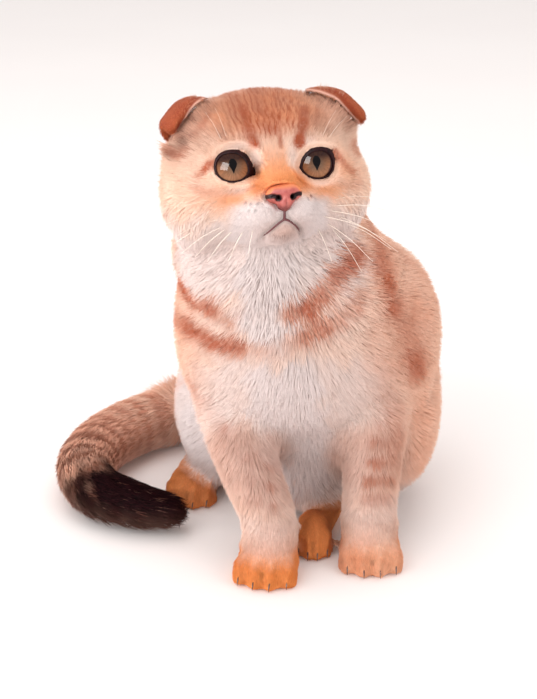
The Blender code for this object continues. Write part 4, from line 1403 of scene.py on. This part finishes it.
unwrap = Unwrap(skin_mesh, 0.15)
density = density_of(skin_points, skin_outward, skin_labels, skin_edges)
neck_and_tail = is_node(skin_labels, "neck") | is_node(skin_labels, "tail")
long_share = np.clip(blurred(neck_and_tail.astype(float), skin_edges, 30) + 0.5 * jowl, 0, 1)
grow("coat_fine", density * (1 - 0.1 * long_share), **COATS["coat_fine"])
grow("coat_long", density * long_share, **COATS["coat_long"])


# The lids and the eyes.


def lid_point(side, angle, share, out, back):
    """A point of a lid's rim, across it from the opening outwards, and back into the head."""
    first = lid_reach(side, angle, OPEN_SHAPE)
    last = max(lid_reach(side, angle, RIM_SHAPE), first + 0.35)
    across = first + share * (last - first) + out
    rim = -math.sqrt(max(LID_REACH**2 - across**2, 1.0))
    return eye_centre(side) + Vector((side * across * math.cos(angle), rim + back, across * math.sin(angle)))


# Places across the rim: the share of its width, millimetres beyond that, and millimetres back.
LID_SECTION = [
    (0, -0.05, 1.3), (0, -0.12, 0.35), (0, 0.02, 0.02), (0.35, 0, -0.18),
    (0.7, 0, -0.22), (1, 0.02, -0.18), (1, 0.3, 0.1), (1, 0.35, 1.8),
]


def lids(side):
    """The rim of the lids, as the section carried round the opening."""
    count, size = 72, len(LID_SECTION)
    points = []
    for k in range(count):
        angle = math.tau * k / count
        points += [HEAD @ lid_point(side, angle, *place) for place in LID_SECTION]
    faces = []
    for k in range(count):
        for j in range(size):
            a, b = k * size + j, k * size + (j + 1) % size
            c, d = (k + 1) % count * size + (j + 1) % size, (k + 1) % count * size + j
            faces.append([a, b, c, d] if side < 0 else [d, c, b, a])
    return mesh_of("lid", np.array(points), np.array(faces))


def lid_material():
    s = Shader("lid_rim", 0.62, 0.12)
    grain = s.noise(900.0)
    s.set("Base Color", s.mix(s.range(grain, 0.3, 0.7), srgb(22, 5, 9), srgb(46, 14, 18)))
    s.relief(grain, 0.35, 0.0003)
    return s.material


def eye_material():
    s = Shader("iris", 0.25, 0.0)
    place = s.add("Attribute", attribute_name="local").outputs["Vector"]
    apart = s.add("SeparateXYZ")
    s.give(apart.inputs[0], place)
    x, _, z = apart.outputs
    radius = s.maths("SQRT", s.maths("ADD", s.maths("MULTIPLY", x, x), s.maths("MULTIPLY", z, z)))
    flat = s.add("CombineXYZ")
    s.give(flat.inputs[0], s.maths("DIVIDE", x, s.maths("MAXIMUM", radius, 0.2)))
    s.give(flat.inputs[1], s.maths("DIVIDE", z, s.maths("MAXIMUM", radius, 0.2)))
    s.give(flat.inputs[2], s.maths("MULTIPLY", radius, 0.05))
    rays = s.add("TexNoise")
    s.give(rays.inputs["Vector"], flat.outputs[0])
    rays.inputs["Scale"].default_value = 9.0
    rays.inputs["Detail"].default_value = 4.0
    fibre = rays.outputs["Fac"]
    colour = s.mix(s.range(radius, 1.2, 5.4), srgb(114, 88, 70), srgb(146, 97, 67))
    # Painted shadow of the upper lid: the iris darkens towards its top. It is lighter towards the bottom.
    colour = s.mix(s.range(z, -1.0, 3.4, 0.0, 0.95), colour, srgb(32, 14, 18))
    colour = s.mix(s.range(z, -1.0, -5.0, 0.0, 0.6), colour, srgb(170, 122, 90))
    colour = s.mix(s.range(fibre, 0.35, 0.7, 0.0, 0.4), colour, srgb(72, 46, 32))
    edge = s.range(radius, 5.7, 6.5)
    colour = s.mix(edge, colour, srgb(38, 12, 15))
    high = s.maths("SUBTRACT", z, 0.1)
    half = s.range(high, -3.0, 1.2, 0.4, 1.65)
    across = s.maths("DIVIDE", s.maths("ABSOLUTE", x), half)
    up = s.maths("DIVIDE", high, 2.9)
    oval = s.maths("ADD", s.maths("MULTIPLY", across, across), s.maths("MULTIPLY", up, up))
    colour = s.mix(s.range(oval, 0.85, 1.15), srgb(8, 5, 7), colour)
    s.set("Base Color", colour)
    s.set("Coat Weight", 0.3)
    s.set("Coat Roughness", 0.05)
    return s.material


# The middle of each pupil, as a pixel of the photograph.
PUPILS = {-1: (233.1, 166.2), 1: (316.7, 163.4)}


def eye_mesh(side):
    """A ball with a slight bulge ahead, its pole on the line of sight."""
    centre = HEAD @ eye_centre(side)
    ray = view_ray(*PUPILS[side]).normalized()
    to_centre = EYE_POINT - centre
    along = -to_centre.dot(ray)
    off = to_centre.length_squared - along * along
    front = EYE_POINT + ray * (along - math.sqrt(max(EYE_RADIUS**2 - off, 0.5)))
    gaze = (front - centre).normalized()
    across = gaze.cross(HEAD_UP).normalized()
    up = across.cross(gaze).normalized()
    rings, around = 60, 96
    points, local = [], []
    for i in range(rings + 1):
        theta = math.pi * (i / rings) ** 1.25
        bulge = 0.45 * float(step(0.78, 0.0, theta))
        reach = EYE_RADIUS - 0.05 + bulge
        for j in range(around):
            phi = math.tau * j / around
            x, z = math.sin(theta) * math.cos(phi), math.sin(theta) * math.sin(phi)
            spot = (across * x + up * z + gaze * math.cos(theta)) * reach
            points.append(centre + spot)
            local.append((x * EYE_RADIUS, 0, z * EYE_RADIUS))
    faces = []
    for i in range(rings):
        for j in range(around):
            k = (j + 1) % around
            faces.append([i * around + j, i * around + k, (i + 1) * around + k, (i + 1) * around + j])
    mesh = mesh_of("eye", np.array(points), np.array(faces))
    layer = mesh.attributes.new("local", "FLOAT_VECTOR", "POINT")
    layer.data.foreach_set("vector", np.array(local, np.float32).ravel())
    return mesh


IRIS, RIM = eye_material(), lid_material()
for side, name in zip(SIDES, ("right", "left")):
    put(f"eyeball_{name}", eye_mesh(side), IRIS, "eye", f"eye_{name}")
    put(f"lids_{name}", lids(side), RIM, "coat_golden")


# The nose, ears, mouth, whiskers and claws.


def nose_material():
    s = Shader("nose_skin", 0.6, 0.25)
    pebbles = s.add("TexVoronoi")
    s.give(pebbles.inputs["Vector"], s.add("TexCoord").outputs["Object"])
    pebbles.inputs["Scale"].default_value = 1500.0
    broad = s.noise(300.0)
    above, _, _, dark = s.painted("marks")
    colour = s.mix(s.range(broad, 0.35, 0.65), srgb(170, 84, 80), srgb(196, 108, 98))
    colour = s.mix(above, colour, srgb(228, 138, 92))
    # The dark mark: painted shade in the nostrils and the crease, and the leather's darker bottom.
    colour = s.mix(dark, colour, srgb(34, 8, 12))
    s.set("Base Color", colour)
    s.relief(pebbles.outputs["Distance"], 0.45, 0.0003)
    return s.material


def make_nose():
    mesh = modified(joined_nodes(["nose"], 0.35), "REMESH", mode="VOXEL", voxel_size=NOSE_VOXEL)
    edges = edges_of(mesh)
    points = blurred(places(mesh), edges, 6)
    move(mesh, points)
    head = to_head(points)
    head[:, 0] += NOSE_ASIDE
    flat = (head - [NOSE_ASIDE, 0, 0]) * [1, 0, 1]
    # Painted shade in the nostrils' openings and along the middle crease; the leather also darkens towards
    # its bottom.
    dark = np.zeros(len(points))
    for side in SIDES:
        slit = smooth_path([(side * 2.8, 0, -12.2), (side * 4.7, 0, -11.4), (side * 6.9, 0, -11.5)], 16)
        hole = np.linalg.norm(flat - [side * 2.9, 0, -12.3], axis=1)
        in_slit = 1 - step(0.55, 1.2, off_path(flat, slit, 4))
        dark = np.maximum.reduce([dark, in_slit, 1 - step(1.0, 1.7, hole)])
    crease = 1 - step(0.0, 1.0, np.abs(flat[:, 0]) + 0.25 * np.maximum(flat[:, 2] + 14.5, 0))
    dark = np.where(head[:, 1] < -34, dark, 0)
    top = step(-11.8, -9.8, head[:, 2])
    head[:, 1] += (2.2 - 1.3 * top) * step(-0.2, 1.4, off_nose(head)) + 0.9 * dark + 0.3 * crease
    head[:, 1] += 1.3 * step(-9.6, -7.0, head[:, 2])
    move(mesh, from_head(head))
    dark = np.maximum(dark, 0.6 * step(-14.0, -17.0, head[:, 2]))
    dark = np.maximum(dark, 0.35 * crease * step(-12.0, -15.0, head[:, 2]))
    above = step(-9.8, -7.4, head[:, 2])
    above = np.maximum(above, step(-0.9, 0.4, off_nose(head)) * step(-11.6, -10.0, head[:, 2]))
    paint(mesh, "marks", np.stack([above, dark, dark, dark], 1))
    put("nose_leather", mesh, nose_material(), "nose_leather", "nose")


def ear_material():
    s = Shader("ear_velvet", 0.8, 0.15)
    edge, shaded = s.painted("marks")[:2]
    broad, small = s.noise(200.0), s.noise(1200.0, 2.0)
    colour = s.mix(s.range(broad, 0.3, 0.7), srgb(160, 64, 34), srgb(184, 88, 50))
    colour = s.mix(s.range(small, 0.3, 0.7, 0.0, 0.3), colour, srgb(138, 52, 30))
    # Painted shade on the flap just above its free edge.
    colour = s.mix(s.maths("MULTIPLY", shaded, 0.6), colour, srgb(128, 36, 18))
    colour = s.mix(edge, colour, srgb(236, 184, 162))
    s.set("Base Color", colour)
    s.set("Sheen Weight", 0.1)
    s.relief(small, 0.5, 0.0005)
    return s.material


def ear_marks(name, points, path):
    """How near each point is to the free edge of the folded ear, and how deep in its shade."""
    below = below_edge(name, pixels_of(points))
    close = 1 - step(4.0, 8.0, off_path(points, path, 9))
    return bump(below, 0.2, 1.7) * close, bump(below, -4.5, 5.0) * close


# The outer end of each ear: the columns of the photograph over which it begins, and how far it is
# moved aside and up. The right one is moved up only below some rows of the photograph.
EAR_ENDS = {"ear_right": ((182, 162), 1.6, 2.2), "ear_left": ((340, 360), 0.8, -2.0)}
RIGHT_EAR_ROWS = (122, 140)

EAR = ear_material()
EAR_TUFTS = dict(length=2.3, width=0.24, height=0.8, sway=0.2, clump=3, pull=0.1, bent=False)
EAR_DENSITY = 8.5  # tufts on a square millimetre


def ear_surface(name, path):
    """The folded ear's skin and how far below its free edge each point was before the fold."""
    mesh = modified(joined_nodes([name], 0.05), "REMESH", mode="VOXEL", voxel_size=EAR_VOXEL)
    edges = edges_of(mesh)
    points = blurred(places(mesh), edges, 8)
    move(mesh, points)
    x, y, _ = pixels_of(points).T
    columns, aside, lift = EAR_ENDS[name]
    end = step(*columns, x)
    lift = lift * end * (step(*RIGHT_EAR_ROWS, y) if name == "ear_right" else 1)
    points = points + np.array([aside, 0, 0]) * end[:, None] + UP_ROW * lift[:, None]
    below = below_edge(name, pixels_of(points))
    points = points + unit(blurred(normals(mesh), edges, 6)) * step(-1.0, -9.0, below)[:, None]
    points = blurred(points, edges, 12)
    under = step(0.2, 4.0, below_edge(name, pixels_of(points)))
    home = path[np.linalg.norm(points[:, None] - path[None], axis=2).argmin(1)]
    points = points + (home + AHEAD_ROW * 2.6 - points) * under[:, None]
    move(mesh, points)
    return mesh, points, edges, below


def make_ear(name, path, seed):
    mesh, points, edges, below = ear_surface(name, path)
    edge, shaded = ear_marks(name, points, path)
    paint(mesh, "marks", np.stack([edge, shaded, edge, edge], 1))
    put(name.replace("ear", "ear_fold"), mesh, EAR, "ear_skin", name)
    outward = unit(blurred(normals(mesh), edges, 2))
    down = np.array([0.25 * np.sign(to_head(points)[:, 0].mean()), -0.8, -0.55]) @ HEAD_TURN.T
    size = len(points)
    own = {"outward": outward, "lie": along(down, outward), "depth": np.ones(size)}
    own["part"] = np.zeros((size, 4))
    roots = Roots(points, triangles_of(mesh), own, np.where(below > 1.5, 0, EAR_DENSITY), seed)
    shapes = tuft_shapes(roots, **EAR_TUFTS)

    def ear_coat(spots, _outward, _part):
        """As the markings of the body: a pale free edge, and ginger that reddens outwards, with painted
        shade on the outer flap just above its free edge.
        """
        near_edge, shaded = ear_marks(name, spots, path)
        outer = step(25, 36, np.abs(to_head(spots)[:, 0]))
        # Painted shade just above the free edge deepens the ginger and darkens the outer flap.
        ginger = (0.38 + 0.42 * outer + 0.2 * shaded * outer) * (1 - 0.8 * near_edge)
        soot_and_shade = 0.3 * outer * shaded * (1 - near_edge)
        orange = (0.4 + 0.4 * outer) * (1 - 0.7 * near_edge)
        nothing = np.zeros(len(spots))
        return np.stack([near_edge * 0.4, ginger, nothing + 0.4, soot_and_shade, nothing, orange], 1)

    add_coat(name.replace("ear", "ear_coat"), roots, shapes, ear_coat, Unwrap(mesh, 0.3), COAT, "ear_skin")


make_nose()
for number, (name, path) in enumerate(zip(EAR_LINES, EAR_PATHS)):
    make_ear(name, path, 31 + number)


def two_toned(name, roughness, specular, scale, first, second, detail=3.0):
    """A material whose colour drifts between two tones, with noise of the given scale."""
    s = Shader(name, roughness, specular)
    s.set("Base Color", s.mix(s.noise(scale, detail), srgb(*first), srgb(*second)))
    return s


def make_mouth():
    shapes = []
    for k, path in enumerate(MOUTH):
        thick = np.linspace(0.54, 0.54 if k == 0 else 0.22, len(path))
        shapes.append(revolved(path, thick, 8))
    lip = two_toned("mouth_line", 0.6, 0.3, 800.0, (84, 34, 40), (120, 70, 72))
    put("mouth_line", gathered("mouth_line", shapes), lip.material, "coat_golden")


# Whiskers as pixels of root and tip in the photograph, and how far the tip lies behind the root.
WHISKERS = [
    ((327, 202), (373, 197), 12), ((330, 206), (396, 213), 14), ((328, 210), (392, 231), 12),
    ((333, 214), (398, 252), 10), ((337, 220), (391, 249), 8), ((325, 222), (373, 262), 4),
    ((330, 226), (362, 272), 2), ((317, 227), (332, 262), 0), ((322, 216), (386, 240), 12),
    ((320, 204), (352, 190), 12), ((220, 208), (168, 207), 14), ((222, 213), (166, 224), 12),
    ((218, 223), (170, 246), 10), ((224, 226), (182, 253), 8), ((227, 228), (195, 257), 6),
    ((233, 230), (207, 262), 4), ((243, 231), (228, 262), 2), ((253, 230), (248, 256), 0),
    ((226, 218), (176, 236), 10), ((229, 206), (190, 196), 12),
    ((222, 141), (205, 112), 6), ((227, 139), (215, 108), 6), ((322, 137), (336, 110), 6),
    ((328, 139), (347, 116), 6),
]
BROW_ROW = 150  # the whiskers whose tips are above this row of the photograph are the brows' thin ones
WHISKER_STOPS, WHISKER_SEED = 22, 41


def make_whiskers():
    shapes = []
    draw = np.random.default_rng(WHISKER_SEED)
    for root_pixel, tip_pixel, back in WHISKERS:
        root = skin.seen(*root_pixel)
        tip = at_depth(*tip_pixel, depth_of(root) + back)
        sag = Vector((0, -1, 1)) * (tip - root).length * 0.08
        middle = (root + tip) / 2 + sag
        inside = root + (root - middle).normalized() * 1.5
        path = smooth_path([inside, root, middle, tip], WHISKER_STOPS)
        path += draw.normal(0, 0.03, 3)
        thick = np.linspace(0.24, 0.07, WHISKER_STOPS) * (0.85 if tip_pixel[1] > BROW_ROW else 0.28)
        shapes.append(revolved(path, thick, 6))
    hair = two_toned("whisker", 0.35, 0.5, 90.0, (255, 246, 234), (248, 226, 206))
    put("whiskers", gathered("whiskers", shapes), hair.material, "coat_golden")


def make_claws():
    shapes = []
    for place, turn, width in PAWS:
        for k in range(4):
            across = (k - 1.5) / 1.5
            x = across * width * 0.72
            y = -18.4 + 3.5 * across * across
            stops = [(x, y + 2.0, 4.4), (x, y + 0.1, 4.1), (x, y - 1.3, 3.0), (x, y - 1.9, 1.5)]
            path = smooth_path([paw_stand(place, turn) @ Vector(p) for p in stops], 12)
            shapes.append(revolved(path, np.linspace(1.0, 0.12, 12) ** 0.8 * 0.62, 8, 0.8))
    horn = two_toned("claw_horn", 0.3, 0.5, 500.0, (58, 34, 28), (112, 76, 62))
    horn.relief(horn.noise(1500.0), 0.3, 0.0002)
    put("claws", gathered("claws", shapes), horn.material, "coat_paws")


make_mouth()
make_whiskers()
make_claws()


# Floor, light and camera. Places and sizes here are metres of the model frame.


LIT = Vector((0.0, 0.0, 0.1))


def light(name, place, size, power, in_gloss=True, in_diffuse=True):
    """A rectangular lamp that faces the cat's middle."""
    lamp = bpy.data.lights.new(name, "AREA")
    lamp.shape = "RECTANGLE"
    lamp.size, lamp.size_y = size
    lamp.energy = power
    thing = bpy.data.objects.new(name, lamp)
    thing.visible_glossy, thing.visible_diffuse = in_gloss, in_diffuse
    bpy.context.scene.collection.objects.link(thing)
    thing.location = place
    thing.rotation_euler = (LIT - Vector(place)).to_track_quat("-Z", "Y").to_euler()


FLOOR = 6
floor_mesh = bpy.data.meshes.new("floor")
corners = [(-FLOOR, -FLOOR, 0), (FLOOR, -FLOOR, 0), (FLOOR, FLOOR, 0), (-FLOOR, FLOOR, 0)]
floor_mesh.from_pydata(corners, [], [(0, 1, 2, 3)])
paper = two_toned("floor", 0.75, 0.2, 4.0, (244, 238, 236), (248, 243, 241), 2.0)
floor_mesh.materials.append(paper.material)
floor = bpy.data.objects.new("floor", floor_mesh)
bpy.context.scene.collection.objects.link(floor)

light("key", (-0.72, -0.95, 0.8), (1.1, 1.1), 7.2, in_gloss=False)
light("window", (-0.72, -0.85, 0.75), (0.85, 0.95), 66.0, in_diffuse=False)
light("fill", (0.95, -0.8, 0.6), (0.8, 0.8), 4, in_gloss=False)
light("above", (0.0, 0.25, 1.3), (1.2, 1.0), 5.5, in_gloss=False)
light("low", (-1.15, -0.36, 0.16), (0.7, 0.35), 5.6, in_gloss=False)

world = bpy.data.worlds.new("studio")
bpy.context.scene.world = world
world.use_nodes = True
sky = world.node_tree.nodes["Background"].inputs
sky["Color"].default_value = (1.0, 0.98, 0.97, 1)
sky["Strength"].default_value = 0.84
bpy.context.scene.view_settings.view_transform = "Standard"

camera_data = bpy.data.cameras.new("camera")
camera_data.sensor_width = SENSOR
camera_data.lens = SENSOR * DISTANCE / SPAN
camera_data.clip_start, camera_data.clip_end = 0.01, 50
camera = bpy.data.objects.new("camera", camera_data)
bpy.context.scene.collection.objects.link(camera)
camera.location = (EYE_POINT + SHIFT) * MM
camera.rotation_euler = VIEW_AHEAD.to_track_quat("-Z", "Y").to_euler()
bpy.context.scene.camera = camera
